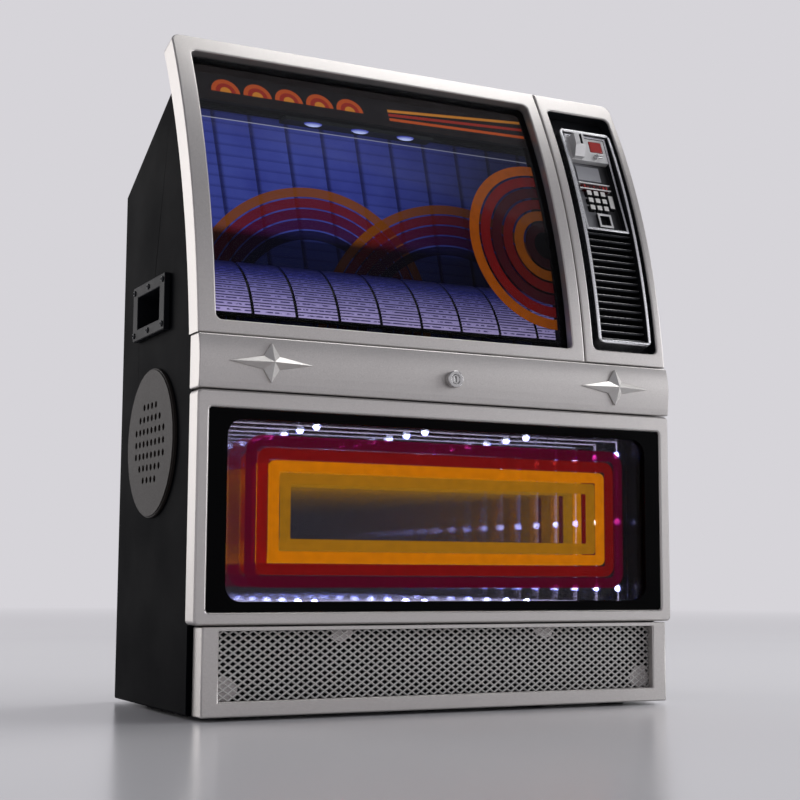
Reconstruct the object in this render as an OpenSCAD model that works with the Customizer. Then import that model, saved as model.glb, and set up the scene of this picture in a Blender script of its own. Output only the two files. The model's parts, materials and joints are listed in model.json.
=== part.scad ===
// Jukebox-shaped table speaker: a black cabinet behind silver front mouldings, a lidded title display,
// a selector panel with keys, a mirror tunnel lit from its edges, and a speaker in each side.
// Millimetres, +X right, +Y to the back, +Z up. The origin is under the middle of the object, on the floor.
// Modules are drawn from the front's own datum: y = 0 at the nose of the band, z = 0 at the plinth's foot.

/* [Front mouldings] */
// Width of the silver front
front_w = 168; // [160:1:184]
// Depth of the silver mouldings, front to back
fascia_t = 8; // [7.5:0.1:9]
// Height of the plinth
plinth_h = 25.8; // [22:0.2:32]
// Height of the lower door frame
lower_h = 68.7; // [62:0.1:76]
// Height of the rounded band
band_h = 16.2; // [15:0.1:18]
// Height of the curved upper front
upper_h = 101.4; // [98:0.1:106]
// Radius of the curved upper front
front_r = 244.8; // [230:0.2:262]
// Height from the centre of the curve up to the foot of the curve
curve_drop = 22.1; // [18:0.1:26]
// Set-back of the foot of the curve behind the band's nose
curve_set = 2.1; // [1.6:0.1:2.8]
// Set-back of the lower door frame behind the band's nose
lower_set = 0.8; // [0.4:0.1:1.2]
// Gap between neighbouring mouldings
seam = 0.4; // [0.3:0.05:0.6]
// Radius of the front's outer top corners
corner_r = 3; // [1:0.5:4]
// Radius of the upper half of the band's bulge
band_upper_r = 22; // [18:1:30]
// Radius of the lower half of the band's bulge
band_lower_r = 45; // [36:1:60]
// Height of the band's nose above the band's foot
band_nose_h = 8.3; // [7.5:0.1:9]

/* [Cabinet] */
// Depth from the band's nose to the back
body_d = 82; // [78:1:96]
// Step from the silver front's edge in to the cabinet side
side_step = 1; // [0.5:0.1:2]
// Thickness of the side panels
side_t = 3; // [2.4:0.1:3.6]
// Thickness of the sloped top
roof_t = 3; // [2:0.1:3.4]
// Thickness of the base board
base_t = 3; // [2:0.1:4]
// Thickness of the back cover
cover_t = 2.5; // [2:0.1:3.5]
// Height of the front above the front edge of the sloped top
visor_h = 18.3; // [17:0.1:20]
// Fall of the sloped top from front to back
roof_fall = 25; // [18:0.5:32]
// Height of the rubber feet
foot_h = 1.2; // [0.8:0.1:3]
// Diameter of the rubber feet
foot_d = 9; // [6:0.5:12]

/* [Window lid] */
// Width of the selector side, from the seam to the front's edge
selector_w = 32.35; // [31:0.05:34]
// Rail beside the window
window_rail = 5.8; // [5:0.1:7]
// Rail between the window and the seam
window_post = 4.7; // [4.4:0.1:6]
// Rail under the window
window_sill = 4.3; // [4:0.1:6]
// Rail over the window
window_head = 5.6; // [5:0.1:7]
// Corner radius of the window
window_r = 2; // [1:0.2:3]
// Depth of the glass behind the front
glass_set = 3; // [2.6:0.1:3.4]
// Thickness of the window glass
glass_t = 1.6; // [1:0.1:1.8]
// Ledge that holds the glass
ledge = 1.4; // [1:0.1:2]
// Width of the black liner that shows inside the window
liner_w = 1.4; // [1:0.1:2.5]
// Height of the header strip
header_h = 15; // [12:0.5:17]
// Diameter of the hinge pins
pin_d = 1.6; // [1.2:0.1:1.8]
// Outer diameter of the hinge knuckles
knuckle_d = 4; // [3.2:0.1:4.4]
// Length of one hinge knuckle
knuckle_l = 5; // [3:0.5:8]

/* [Title display] */
// Radius of the title card drum
drum_r = 30; // [28:0.5:33]
// Thickness of the drum's shell
drum_t = 1.6; // [1:0.1:2.5]
// Thickness of the title cards
card_t = 0.4; // [0.3:0.05:0.8]
// Pitch of the card columns
card_pitch = 14.6; // [10:0.2:24]
// Gap between card columns
card_gap = 1.2; // [0.6:0.1:2]
// Thickness of the mirrors
mirror_t = 0.8; // [0.5:0.1:1]
// Wall of the display box
box_t = 1; // [0.8:0.1:1.2]

/* [Selector] */
// Rail between the seam and the selector recess
selector_post = 3.65; // [3.2:0.05:4.2]
// Rail between the selector recess and the front's edge
selector_rail = 2.8; // [2.4:0.1:3.2]
// Depth of the selector recess
recess_d = 5; // [4.6:0.1:5.4]
// Thickness of the recess floor
recess_t = 1.6; // [1.2:0.1:2]
// Width of the chrome bezel
bezel_w = 21.4; // [20.8:0.1:22]
// Rim of the chrome bezel
bezel_rim = 1.2; // [0.8:0.1:1.4]
// Height by which the bezel stands proud of the front
bezel_rise = 0.4; // [0:0.1:1]
// Length of the upper panel with coin entry and keys
pan_l = 40.6; // [40:0.2:42]
// Dark step between the bezel and the tray's rim
pan_gap = 0.5; // [0.2:0.1:0.8]
// Width of a key
key_w = 2; // [1.6:0.1:2.1]
// Sideways pitch of the keys
key_pitch_x = 2.85; // [2.8:0.05:3]
// Upward pitch of the keys
key_pitch_h = 3.05; // [3:0.05:3.2]
// Travel of the keys
key_travel = 0.6; // [0.3:0.05:0.7]
// Number of louvre slats
slat_count = 15; // [8:1:18]

/* [Mirror tunnel] */
// Rail beside the tunnel opening
tunnel_rail = 3.7; // [3.2:0.1:5]
// Rail under the tunnel opening
tunnel_sill = 3.7; // [3:0.1:5]
// Rail over the tunnel opening
tunnel_head = 5.2; // [4:0.1:7]
// Width of the black border at the sides
mask_side = 5.9; // [4:0.1:8]
// Width of the black border above and below
mask_end = 3.1; // [2:0.1:5]
// Corner radius of the clear area
mask_r = 5; // [3:0.5:7]
// Thickness of the tunnel glass
tunnel_glass_t = 1.8; // [1.2:0.1:2.4]
// Depth of the half mirror's back face
half_mirror_y = 12.3; // [11.6:0.1:13]
// Depth of the rear mirror's front face
tunnel_mirror_y = 25.3; // [22.5:0.1:25.4]
// Half width of the amber frame
amber_half_w = 60; // [50:0.5:62]
// Half height of the amber frame
amber_half_h = 15.3; // [14:0.1:17]
// Width of one printed stripe
stripe_w = 3.4; // [2.6:0.1:3.6]

/* [Plinth] */
// Width of the plinth
plinth_w = 163; // [154:1:168]
// Set-back of the plinth behind the band's nose
plinth_set = 0.5; // [0.2:0.1:0.8]
// Rail beside the mesh
plinth_rail = 5.3; // [4:0.1:8]
// Rail under the mesh
plinth_sill = 4.4; // [3:0.1:6]
// Recess of the mesh behind the plinth's front
mesh_set = 3; // [2:0.1:4]
// Thickness of the mesh
mesh_t = 0.8; // [0.5:0.1:1.2]
// Width of one mesh cell
mesh_cell_w = 6; // [5.6:0.2:9]
// Height of one mesh cell
mesh_cell_h = 3.4; // [3.2:0.1:5]
// Width of the mesh strands
mesh_strand = 0.8; // [0.6:0.05:1]

/* [Sides] */
// Depth of the speaker's centre behind the band's nose
speaker_y = 45.8; // [45.8:0.1:48]
// Height of the speaker's centre
speaker_z = 82.2; // [78:0.1:84]
// Diameter of the speaker grille
grille_d = 47.4; // [44:0.2:50]
// Thickness of the speaker grille
grille_t = 1.4; // [1:0.1:1.8]
// Diameter of the grille holes
grille_hole_d = 2; // [1.4:0.1:2.6]
// Diameter of the speaker driver
driver_d = 36; // [32:0.5:36]
// Travel of the speaker cone each way
cone_travel = 0.8; // [0.4:0.1:1]
// Width of the handle plate
handle_w = 33; // [31:0.5:36]
// Height of the handle plate
handle_h = 18; // [17:0.5:20]
// Height by which the handle plate stands proud
handle_t = 2; // [1.7:0.1:2.6]
// Width of the finger recess
grip_w = 23; // [20:0.5:24]
// Height of the finger recess
grip_h = 10.5; // [9:0.1:11]
// Depth of the finger recess from the plate's face
grip_d = 9; // [7:0.5:9.5]

/* [Trim] */
// Half length of the star ornaments
star_half_l = 13.3; // [10:0.1:15]
// Half height of the star ornaments
star_half_h = 6; // [5:0.1:6.4]
// Height by which the stars stand proud
star_rise = 3.2; // [2.6:0.1:4.5]
// Distance of the stars from the middle
star_x = 61.6; // [50:0.2:66]
// Diameter of the lock's head
lock_d = 5.4; // [4.6:0.1:6]
// Diameter of the lock's plug
lock_plug_d = 2.8; // [2.4:0.1:3]

/* [Hidden] */
$fn = 64;

// Clearance of fitted pieces, gap under seated ones, running clearance of a pin, clearance beside a
// sliding key, overlap of joined shapes, a cutter's overrun, and how far a cutter reaches through the front
fit = 0.2;
seat = 0.03;
run = 0.05;
slide = 0.25;
bond = 0.1;
over = 1;
reach_front = -30;
reach_back = 60;

// Half widths: silver front, cabinet outside, cabinet inside, and pieces fitted between the sides
front_hw = front_w / 2;
side_hw = front_hw - side_step;
inner_hw = side_hw - side_t;
panel_hw = inner_hw - fit;

// Heights of the front's parts, from the plinth's foot
lower_z0 = plinth_h + seam;
lower_z1 = lower_z0 + lower_h;
band_z0 = lower_z1 + seam;
band_z1 = band_z0 + band_h;
upper_z0 = band_z1 + seam;
top_z = upper_z0 + upper_h;
band_nose_z = band_z0 + band_nose_h;

// The upper front is part of a cylinder along X
curve_z = upper_z0 - curve_drop;
curve_y = curve_set + sqrt(front_r * front_r - curve_drop * curve_drop);
function lean(z) = asin((z - curve_z) / front_r);
function front_y(z, d = 0) = curve_y - sqrt((front_r - d) * (front_r - d) - (z - curve_z) * (z - curve_z));

// Height in a plane that touches the curve at height zt, of the curve's point at height z
function tilt_h(z, zt) = (z - zt) * cos(lean(zt)) + (front_y(z) - front_y(zt)) * sin(lean(zt));

// Cabinet outline
moulding_back = lower_set + fascia_t;
cabinet_y0 = moulding_back + fit;
curve_back_d = fascia_t + 0.3;
roof_z = top_z - visor_h;
roof_y = front_y(roof_z, curve_back_d);
back_h = roof_z - roof_fall;
roof_angle = atan(roof_fall / (body_d - roof_y));
roof_drop = roof_t / cos(roof_angle);
cover_y0 = body_d - cover_t;
inside_y1 = cover_y0 - fit;
function roof_at(y) = back_h + (body_d - y) * tan(roof_angle);

// Half way between the foremost and the hindmost point
y_mid = (body_d - star_rise) / 2;

// Window lid and selector side
seam_x = front_hw - selector_w;
lid_x0 = -front_hw;
lid_x1 = seam_x - seam / 2;
win_x0 = lid_x0 + window_rail;
win_x1 = seam_x - window_post;
win_z0 = upper_z0 + window_sill;
win_z1 = top_z - window_head;
win_zt = (win_z0 + win_z1) / 2;
glass_back = glass_set + fit + glass_t;
liner_d0 = glass_back + fit;

// Lid hinge, behind the lid and just above the front edge of the sloped top
header_t = 1;
visor_t = 1.2;
visor_inset = 1.5;
roof_gap = 0.6;
knuckle_clear = 0.35;
visor_z0 = roof_z + roof_gap;
hinge_z = roof_z + knuckle_d / 2 + roof_gap;
hinge_y = front_y(hinge_z, fascia_t + visor_t) + (knuckle_d / 2 + knuckle_clear) / cos(lean(hinge_z));
hinge_inset = 24;
hinge_xs = [lid_x0 + hinge_inset, lid_x1 - hinge_inset];
knuckle_gap = 0.3;
pin_half_l = 1.5 * knuckle_l + knuckle_gap;

// Display box behind the window
chamber_d0 = fascia_t + 2 * fit;
box_x0 = -inner_hw + fit;
box_x1 = seam_x - fit;
box_z0 = upper_z0 + fit;
mirror_y = roof_y - 0.4;
box_y1 = mirror_y + mirror_t + fit + box_t;
box_z1 = roof_at(box_y1) - roof_drop - fit;
box_inner_z0 = box_z0 + box_t;
box_inner_z1 = box_z1 - box_t;

// Drum of the title cards: its front foot, and the angles where it starts and ends, measured from +Y
drum_foot_z = win_z0 + 3.5;
drum_foot_y = front_y(drum_foot_z, chamber_d0) + 0.5;
drum_a0 = 111;
drum_a1 = 164;
card_margin = 1.2;
card_inset = 1.5;
card_min_w = 2;
drum_y = drum_foot_y - drum_r * cos(drum_a1);
drum_z = drum_foot_z - drum_r * sin(drum_a1);

// Selector panel
rec_x0 = seam_x + selector_post;
rec_x1 = front_hw - selector_rail;
rec_z0 = upper_z0 + 4.7;
rec_z1 = top_z - 6.2;
rec_zt = (rec_z0 + rec_z1) / 2;
rec_ledge = 1;
bezel_x0 = (rec_x0 + rec_x1 - bezel_w) / 2;
bezel_x1 = bezel_x0 + bezel_w;
bezel_z0 = rec_z0 + 2.5;
bezel_z1 = rec_z1 - 7.5;
bezel_zt = (bezel_z0 + bezel_z1) / 2;
bezel_r = 2;
bezel_taper = 1.35;
well_x0 = bezel_x0 + bezel_rim;
well_x1 = bezel_x1 - bezel_rim;
bezel_h0 = tilt_h(bezel_z0, bezel_zt);
bezel_h1 = tilt_h(bezel_z1, bezel_zt);

// Upper selector panel: flat, touching the curve at this height
pan_z = bezel_z1 - 20.6;
pan_lean = lean(pan_z);
pan_base_x0 = well_x0 + fit;
pan_base_x1 = well_x1 - fit;
pan_x0 = pan_base_x0 + pan_gap;
pan_x1 = pan_base_x1 - pan_gap;
pan_mid_x = (pan_x0 + pan_x1) / 2;
pan_h1 = tilt_h(bezel_z1, pan_z) - bezel_rim - fit - 0.2;
pan_h0 = pan_h1 - pan_l;
pan_front = 1.2;
pan_floor = 3.6;
pan_back = 5;
pan_rim = 0.8;
coin_h1 = pan_h1 - pan_rim - fit;
coin_h0 = coin_h1 - 10;
coin_x0 = pan_x0 + pan_rim + fit;
coin_x1 = pan_x1 - pan_rim - fit;
coin_front = pan_front + 0.2;
coin_back = pan_floor - fit;

// Keys: three columns and rows, and the tall key beside them
key_x = pan_mid_x - 0.3;
key_h = coin_h0 - 16.2;
key_top = 2.3;
flange_t = 0.6;
flange_lip = 0.4;
flange_y = pan_back + fit;
board_y = flange_y + flange_t + key_travel + fit;
board_t = 1.2;
pan_inset = 0.5;
tall_x = key_x + key_pitch_x + key_w + 0.9;
tall_l = 2 * key_pitch_h - 0.6;

// Reject button and return lever on the coin plate
reject_x = coin_x1 - 3.9;
reject_h = coin_h0 + 6.7;
reject_w = 5;
reject_t = 4.4;
stem_w = reject_w - 2;
stem_h = reject_t - 2;
cap_t = 1;
cap_sink = 0.1;
lever_x = reject_x - 1.3;
lever_h = coin_h0 + 1.9;
lever_hub_d = 1.8;
lever_pin_d = 1.08;
lever_l = 2.6;
lever_t = 0.8;
lever_y0 = pan_front - 1;

// Price display and coin return cup
display_x0 = pan_mid_x - 5.2;
display_x1 = pan_mid_x + 5.2;
display_h = coin_h0 - 10.6;
display_half_h = 1.5;
display_t = 1.2;
cup_x = pan_mid_x + 0.9;
cup_h = key_h - key_pitch_h - 5.2;
cup_w = 5.6;
cup_t = 0.4;
cup_wall = 0.35;

// Louvre grille under the upper panel, along the curve
louvre_h1 = tilt_h(pan_z, bezel_zt) + pan_h0 - fit - 0.6;
louvre_h0 = bezel_h0 + bezel_rim + fit;
louvre_d0 = 1.4;
slat_root = 0.8;
slat_share = 0.38;
slat_pitch = (louvre_h1 - louvre_h0 - 1) / slat_count;

// Tunnel
tun_hw = front_hw - tunnel_rail;
tun_z0 = lower_z0 + tunnel_sill;
tun_z1 = lower_z1 - tunnel_head;
tun_zc = (tun_z0 + tun_z1) / 2;
door_r = 1.5;
opening_r = 1;
mask_sink = 0.6;
mask_y0 = lower_set + mask_sink;
mask_t = 1.2;
tun_glass_y0 = mask_y0 + mask_t + fit / 2;
tun_glass_y1 = tun_glass_y0 + tunnel_glass_t;
print_t = 0.3;
tun_wall = 0.8;
tun_box_z0 = tun_z0 + fit;
tun_box_z1 = tun_z1 - fit;
tun_box_hw = panel_hw;
tun_box_y0 = tun_glass_y1 + fit;
tun_box_y1 = tunnel_mirror_y + mirror_t + fit + tun_wall;
tun_in_hw = tun_box_hw - tun_wall - fit;
tun_in_z0 = tun_box_z0 + tun_wall + fit;
tun_in_z1 = tun_box_z1 - tun_wall - fit;
guide_y0 = half_mirror_y + fit;
guide_y1 = tunnel_mirror_y - fit;
guide_side = 3.4;
guide_end = 1;
led_l = 2.8;
led_t = 0.8;
led_y = (guide_y0 + guide_y1) / 2;
led_pitch_x = 38.5;
led_pitch_z = 23;

// Plinth
plinth_hw = plinth_w / 2;
plinth_back = plinth_set + fascia_t;
mesh_hw = plinth_hw - plinth_rail;
mesh_z0 = plinth_sill;
plinth_head = 1.2;
mesh_z1 = plinth_h - plinth_head;
mesh_ledge = 0.8;
mesh_y0 = plinth_set + mesh_set;

// Handles and speakers, drawn on the left side and mirrored
handle_y = max(box_y1 + grip_w / 2 + 1.4, speaker_y);
handle_z = upper_z0 + 13.9;
grip_wall = 1;
plate_x = -side_hw - handle_t;
cup_floor_x = plate_x + grip_d;
screw_d = 1.9;
screw_shank_d = 1.1;
screw_inset = 1.9;
screw_head_t = 0.5;
screw_bite = side_t - 0.8;
basket_x = -inner_hw + 0.1;
basket_flange_t = 1.5;
basket_l = 12;
magnet_d = 22;
magnet_t = 7;
cone_d = driver_d - 8;
gap_d = 10;
coil_t = 0.5;
coil_end = 11;
cone_set = 0.6;
cone_deep = 4.4;
cone_t = 0.7;
surround_w = 2;

// Back cover's screws, socket and button
cover_screw_d = 4.2;
cover_shank_d = 2;
cover_sink = 1.3;
cover_screw_inset = 12;
cleat_w = 8;
cleat_l = 6;
cleat_inset = 4;
cleat_end = 1;
flange_overlap = 1.5;
cover_z1 = back_h - roof_drop - fit;
cover_screw_x = panel_hw - 4;
cover_screw_zs = [cover_screw_inset, (cover_z1 + cover_screw_inset) / 2, cover_z1 - cover_screw_inset];
board_z0 = 16;
board_w = 70;
board_l = 46;
standoff_l = 5;
main_board_y1 = inside_y1 - standoff_l;
usb_rise = 8;
usb_z = board_z0 + usb_rise;
usb_x = 16;
usb_w = 9;
usb_h = 3.3;
usb_t = 0.4;
usb_sink = 0.6;
button_x = -16;
button_d = 6;
button_flange = 1;
button_lip = 0.8;
button_sink = 0.3;
cell_d = 18.6;
cell_l = board_w - 2;
board_clear = 1;
cell_y = main_board_y1 - board_t - board_clear - cell_d / 2;
standoff_d = 5;
standoff_inset = 4;

// Moves a piece from the front's datum into the part's frame
module placed() {
    translate([0, -y_mid, foot_h]) children();
}

// A box between two corners
module box(x0, x1, y0, y1, z0, z1) {
    translate([x0, y0, z0]) cube([x1 - x0, y1 - y0, z1 - z0]);
}

// A side outline (y, z) drawn out along X
module along_x(x0, x1) {
    translate([x0, 0, 0]) rotate([90, 0, 90]) linear_extrude(x1 - x0) children();
}

// A front outline (x, z) drawn out along Y
module along_y(y0, y1) {
    translate([0, y1, 0]) rotate([90, 0, 0]) linear_extrude(y1 - y0) children();
}

// A cylinder along X, and one along Y
module rod_x(d, x0, x1, y, z) {
    translate([x0, y, z]) rotate([0, 90, 0]) cylinder(d = d, h = x1 - x0);
}

module rod_y(d, y0, y1, x, z) {
    translate([x, y1, z]) rotate([90, 0, 0]) cylinder(d = d, h = y1 - y0);
}

// A rectangle with round corners
module round_rect(x0, x1, z0, z1, r) {
    translate([x0 + r, z0]) square([x1 - x0 - 2 * r, z1 - z0]);
    translate([x0, z0 + r]) square([x1 - x0, z1 - z0 - 2 * r]);
    for (x = [x0 + r, x1 - r], z = [z0 + r, z1 - r]) translate([x, z]) circle(r = r);
}

// A rectangular ring with round corners
module round_ring(x0, x1, z0, z1, w_x, w_z, r) {
    difference() {
        round_rect(x0, x1, z0, z1, r);
        round_rect(x0 + w_x, x1 - w_x, z0 + w_z, z1 - w_z, max(r - max(w_x, w_z), 0.4));
    }
}

// Puts flat pieces (x, depth, height) on the plane that touches the curve at height z
module on_curve(z) {
    translate([0, front_y(z), z]) rotate([-lean(z), 0, 0]) children();
}

// The layer of the curved front between two depths
module curved_layer(x0, x1, d0, d1) {
    intersection() {
        difference() {
            rod_x(2 * (front_r - d0), x0, x1, curve_y, curve_z, $fn = 256);
            rod_x(2 * (front_r - d1), x0 - over, x1 + over, curve_y, curve_z, $fn = 256);
        }
        box(x0 - over, x1 + over, reach_front, body_d, upper_z0, top_z + over);
    }
}

// A piece of the curved front: its outline on a touching plane, cut through the layer
module curved_piece(d0, d1, zt) {
    intersection() {
        curved_layer(-front_hw - over, front_hw + over, d0, d1);
        on_curve(zt) along_y(reach_front, reach_back) children();
    }
}

// A box on the upper selector panel: x, depth and height
module on_pan() {
    on_curve(pan_z) children();
}

// Cabinet

module side_outline() {
    intersection() {
        polygon([[cabinet_y0, 0], [body_d, 0], [body_d, back_h], [cabinet_y0, roof_at(cabinet_y0)]]);
        union() {
            translate([cabinet_y0, 0]) square([body_d, upper_z0]);
            translate([curve_y, curve_z]) circle(r = front_r - curve_back_d, $fn = 256);
        }
    }
}

module side_panel() {
    difference() {
        union() {
            along_x(-side_hw, -inner_hw) side_outline();
            box(-inner_hw - bond, -inner_hw + cleat_w, inside_y1 - cleat_l, inside_y1,
                base_t + fit, cover_z1 - cleat_inset);
        }
        rod_x(driver_d - 2 * flange_overlap, -side_hw - over, -inner_hw + over, speaker_y, speaker_z);
        box(-side_hw - over, -inner_hw + over, handle_y - grip_w / 2 - grip_wall - fit,
            handle_y + grip_w / 2 + grip_wall + fit, handle_z - grip_h / 2 - grip_wall - fit,
            handle_z + grip_h / 2 + grip_wall + fit);
        for (p = handle_screw_places()) {
            rod_x(screw_shank_d + 2 * run, -side_hw - over, -side_hw + screw_bite + fit, p[0], p[1]);
        }
        for (z = cover_screw_zs) {
            rod_y(cover_shank_d + 2 * run, inside_y1 - cleat_l + cleat_end, inside_y1 + over,
                  -cover_screw_x, z);
        }
    }
}

module left_side_panel() {
    color("#14151c") placed() side_panel();
}

module right_side_panel() {
    color("#14151c") placed() mirror([1, 0, 0]) side_panel();
}

module base_board() {
    color("#101014") placed() box(-panel_hw, panel_hw, cabinet_y0, inside_y1, 0, base_t);
}

// The sloped top carries the fixed knuckles of the lid's hinge
module sloped_top_panel() {
    color("#14151c") placed() {
        difference() {
            union() {
                along_x(-panel_hw, panel_hw) intersection() {
                    polygon([[body_d, back_h], [cabinet_y0, roof_at(cabinet_y0)],
                             [cabinet_y0, roof_at(cabinet_y0) - roof_drop], [body_d, back_h - roof_drop]]);
                    translate([curve_y, curve_z]) circle(r = front_r - curve_back_d, $fn = 256);
                }
                for (x = hinge_xs, side = [-1, 1]) fixed_knuckle(x + side * (knuckle_l + knuckle_gap));
            }
            for (x = hinge_xs) {
                rod_x(pin_d + 2 * run, x - 2 * knuckle_l, x + 2 * knuckle_l, hinge_y, hinge_z);
            }
        }
    }
}

module fixed_knuckle(x) {
    rod_x(knuckle_d, x - knuckle_l / 2, x + knuckle_l / 2, hinge_y, hinge_z);
    box(x - knuckle_l / 2, x + knuckle_l / 2, hinge_y - knuckle_d / 4, hinge_y + knuckle_d / 2,
        roof_at(hinge_y) - roof_drop / 2, hinge_z);
}

module back_cover() {
    color("#17171b") placed() {
        difference() {
            union() {
                box(-panel_hw, panel_hw, cover_y0, body_d, 0, cover_z1);
                for (p = standoff_places()) {
                    rod_y(standoff_d, main_board_y1 + seat, cover_y0 + bond, p[0], p[1]);
                }
            }
            for (side = [-1, 1], z = cover_screw_zs) {
                rod_y(cover_shank_d + 2 * fit, cover_y0 - over, body_d + over, side * cover_screw_x, z);
                rod_y(cover_screw_d + 2 * fit, body_d - cover_sink, body_d + over, side * cover_screw_x, z);
            }
            usb_shell(-fit, cover_y0 - over, body_d + over);
            rod_y(button_d + 2 * slide, cover_y0 - over, body_d + over, button_x, usb_z);
        }
    }
}

function standoff_places() = [for (side = [-1, 1], z = [standoff_inset, board_l - standoff_inset])
    [side * (board_w / 2 - standoff_inset), board_z0 + z]];

function handle_screw_places() = [for (i = [-1, 0, 1], s = [-1, 1])
    [handle_y + i * (handle_w / 2 - screw_inset), handle_z + s * (handle_h / 2 - screw_inset)]];

module handle_screw(p) {
    rod_x(screw_d, plate_x - screw_head_t, plate_x, p[0], p[1]);
    rod_x(screw_shank_d, plate_x - bond, -side_hw + screw_bite, p[0], p[1]);
}

// Screws of the handles and the back cover, and the two hinge pins
module fasteners() {
    color("#4a4c50") placed() {
        for (p = handle_screw_places()) {
            handle_screw(p);
            mirror([1, 0, 0]) handle_screw(p);
        }
        for (side = [-1, 1], z = cover_screw_zs) {
            rod_y(cover_screw_d, body_d - cover_sink + run, body_d - run, side * cover_screw_x, z);
            rod_y(cover_shank_d, inside_y1 - cleat_l + cleat_end + fit, body_d - cover_sink + bond,
                  side * cover_screw_x, z);
        }
        for (x = hinge_xs) rod_x(pin_d, x - pin_half_l, x + pin_half_l, hinge_y, hinge_z);
    }
}

module feet() {
    color("#0b0b0c") placed() {
        for (x = [-1, 1], y = [cabinet_y0 + foot_d, inside_y1 - foot_d]) {
            translate([x * (panel_hw - foot_d), y, -foot_h]) cylinder(d = foot_d, h = foot_h);
        }
    }
}

// Plinth

module plinth_frame() {
    color("#b9b5b3") placed() difference() {
        box(-plinth_hw, plinth_hw, plinth_set, plinth_back, 0, plinth_h);
        box(-mesh_hw, mesh_hw, plinth_set - over, plinth_back + over, mesh_z0, mesh_z1);
        box(-mesh_hw - mesh_ledge, mesh_hw + mesh_ledge, mesh_y0, plinth_back + over,
            mesh_z0 - mesh_ledge, mesh_z1 + mesh_ledge);
    }
}

// Expanded metal mesh: staggered diamond openings, and the four pads that bond it
module plinth_mesh() {
    hole_w = mesh_cell_w / 2 - mesh_strand * 0.9;
    hole_h = mesh_cell_h / 2 - mesh_strand * 0.5;
    columns = floor((mesh_hw - mesh_cell_w / 2) / (mesh_cell_w / 2));
    mid = (mesh_z0 + mesh_z1) / 2;
    rows = floor(((mesh_z1 - mesh_z0) / 2 - mesh_cell_h / 2) / (mesh_cell_h / 2));
    color("#c8c6c4") placed() {
        along_y(mesh_y0 + fit / 2, mesh_y0 + fit / 2 + mesh_t) difference() {
            translate([-mesh_hw - mesh_ledge + fit, mesh_z0 - mesh_ledge + fit])
                square([2 * (mesh_hw + mesh_ledge - fit), mesh_z1 - mesh_z0 + 2 * (mesh_ledge - fit)]);
            for (i = [-columns : columns], k = [-rows : rows]) {
                if ((i + k) % 2 == 0 && !under_pad(i * mesh_cell_w / 2, mid + k * mesh_cell_h / 2)) {
                    translate([i * mesh_cell_w / 2, mid + k * mesh_cell_h / 2])
                        polygon([[-hole_w, 0], [0, -hole_h], [hole_w, 0], [0, hole_h]]);
                }
            }
        }
    }
}

pad_half = 3.4;
pad_share = 0.47;
pad_places = [[-mesh_hw * pad_share, mesh_z1], [mesh_hw * pad_share, mesh_z1],
              [-mesh_hw + pad_half, mesh_z0 + pad_half], [mesh_hw - pad_half, mesh_z0 + pad_half]];
function near_pad(x, z, p) = abs(x - p[0]) < pad_half && abs(z - p[1]) < pad_half;
function under_pad(x, z) = len([for (p = pad_places) if (near_pad(x, z, p)) p]) > 0;

// Lower door

module lower_door_frame() {
    color("#b9b5b3") placed() along_y(lower_set, moulding_back) difference() {
        round_rect(-front_hw, front_hw, lower_z0, lower_z1, door_r);
        round_rect(-tun_hw, tun_hw, tun_z0, tun_z1, opening_r);
    }
}

module tunnel_mask() {
    color("#060607") placed() along_y(mask_y0, mask_y0 + mask_t) difference() {
        round_rect(-tun_hw + fit, tun_hw - fit, tun_z0 + fit, tun_z1 - fit, opening_r);
        round_rect(-tun_hw + mask_side, tun_hw - mask_side, tun_z0 + mask_end, tun_z1 - mask_end, mask_r);
    }
}

module tunnel_glass() {
    color("#3a3440", 0.4) placed() along_y(tun_glass_y0, tun_glass_y1)
        round_rect(-tun_hw + fit, tun_hw - fit, tun_z0 + fit, tun_z1 - fit, opening_r);
}

// Printed stripes on the back of the glass, from the purple rim in to the second amber frame
module tunnel_stripes() {
    line = 0.3;
    step = stripe_w + line;
    color("#d98a12") placed() along_y(tun_glass_y1 + seat, tun_glass_y1 + seat + print_t)
        for (i = [-2 : 1]) {
            round_ring(-amber_half_w + i * step, amber_half_w - i * step,
                       tun_zc - amber_half_h + i * step, tun_zc + amber_half_h - i * step,
                       stripe_w, stripe_w, i == 1 ? 1 : 2 - 1.6 * i);
        }
}

module half_mirror() {
    color("#5a5c66", 0.5) placed() along_y(half_mirror_y - mirror_t, half_mirror_y)
        round_rect(-tun_in_hw, tun_in_hw, tun_in_z0, tun_in_z1, mask_r - 1);
}

// Clear ring between the two mirrors, which carries the lamps
module light_guide() {
    color("#cfd4e4", 0.5) placed() along_y(guide_y0, guide_y1)
        round_ring(-tun_in_hw, tun_in_hw, tun_in_z0, tun_in_z1, guide_side, guide_end, mask_r - 1);
}

// Lamps on the light guide's inner faces, and in the ceiling of the title display
module leds() {
    color("white") placed() {
        for (i = [-1, 0, 1]) {
            for (z = [tun_in_z0 + guide_end, tun_in_z1 - guide_end - led_t]) {
                box(i * led_pitch_x - led_l / 2, i * led_pitch_x + led_l / 2,
                    led_y - led_l / 2, led_y + led_l / 2, z, z + led_t);
            }
            for (x = [-tun_in_hw + guide_side, tun_in_hw - guide_side - led_t]) {
                box(x, x + led_t, led_y - led_l / 2, led_y + led_l / 2,
                    tun_zc + i * led_pitch_z - led_l / 2, tun_zc + i * led_pitch_z + led_l / 2);
            }
            translate([lamp_x + i * lamp_pitch, lamp_y, lamp_board_z0 - led_t])
                cylinder(d = lamp_d, h = led_t);
        }
    }
}

module tunnel_mirror() {
    color("#9aa0ae") placed() along_y(tunnel_mirror_y, tunnel_mirror_y + mirror_t)
        round_rect(-tun_in_hw, tun_in_hw, tun_in_z0, tun_in_z1, mask_r - 1);
}

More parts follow.
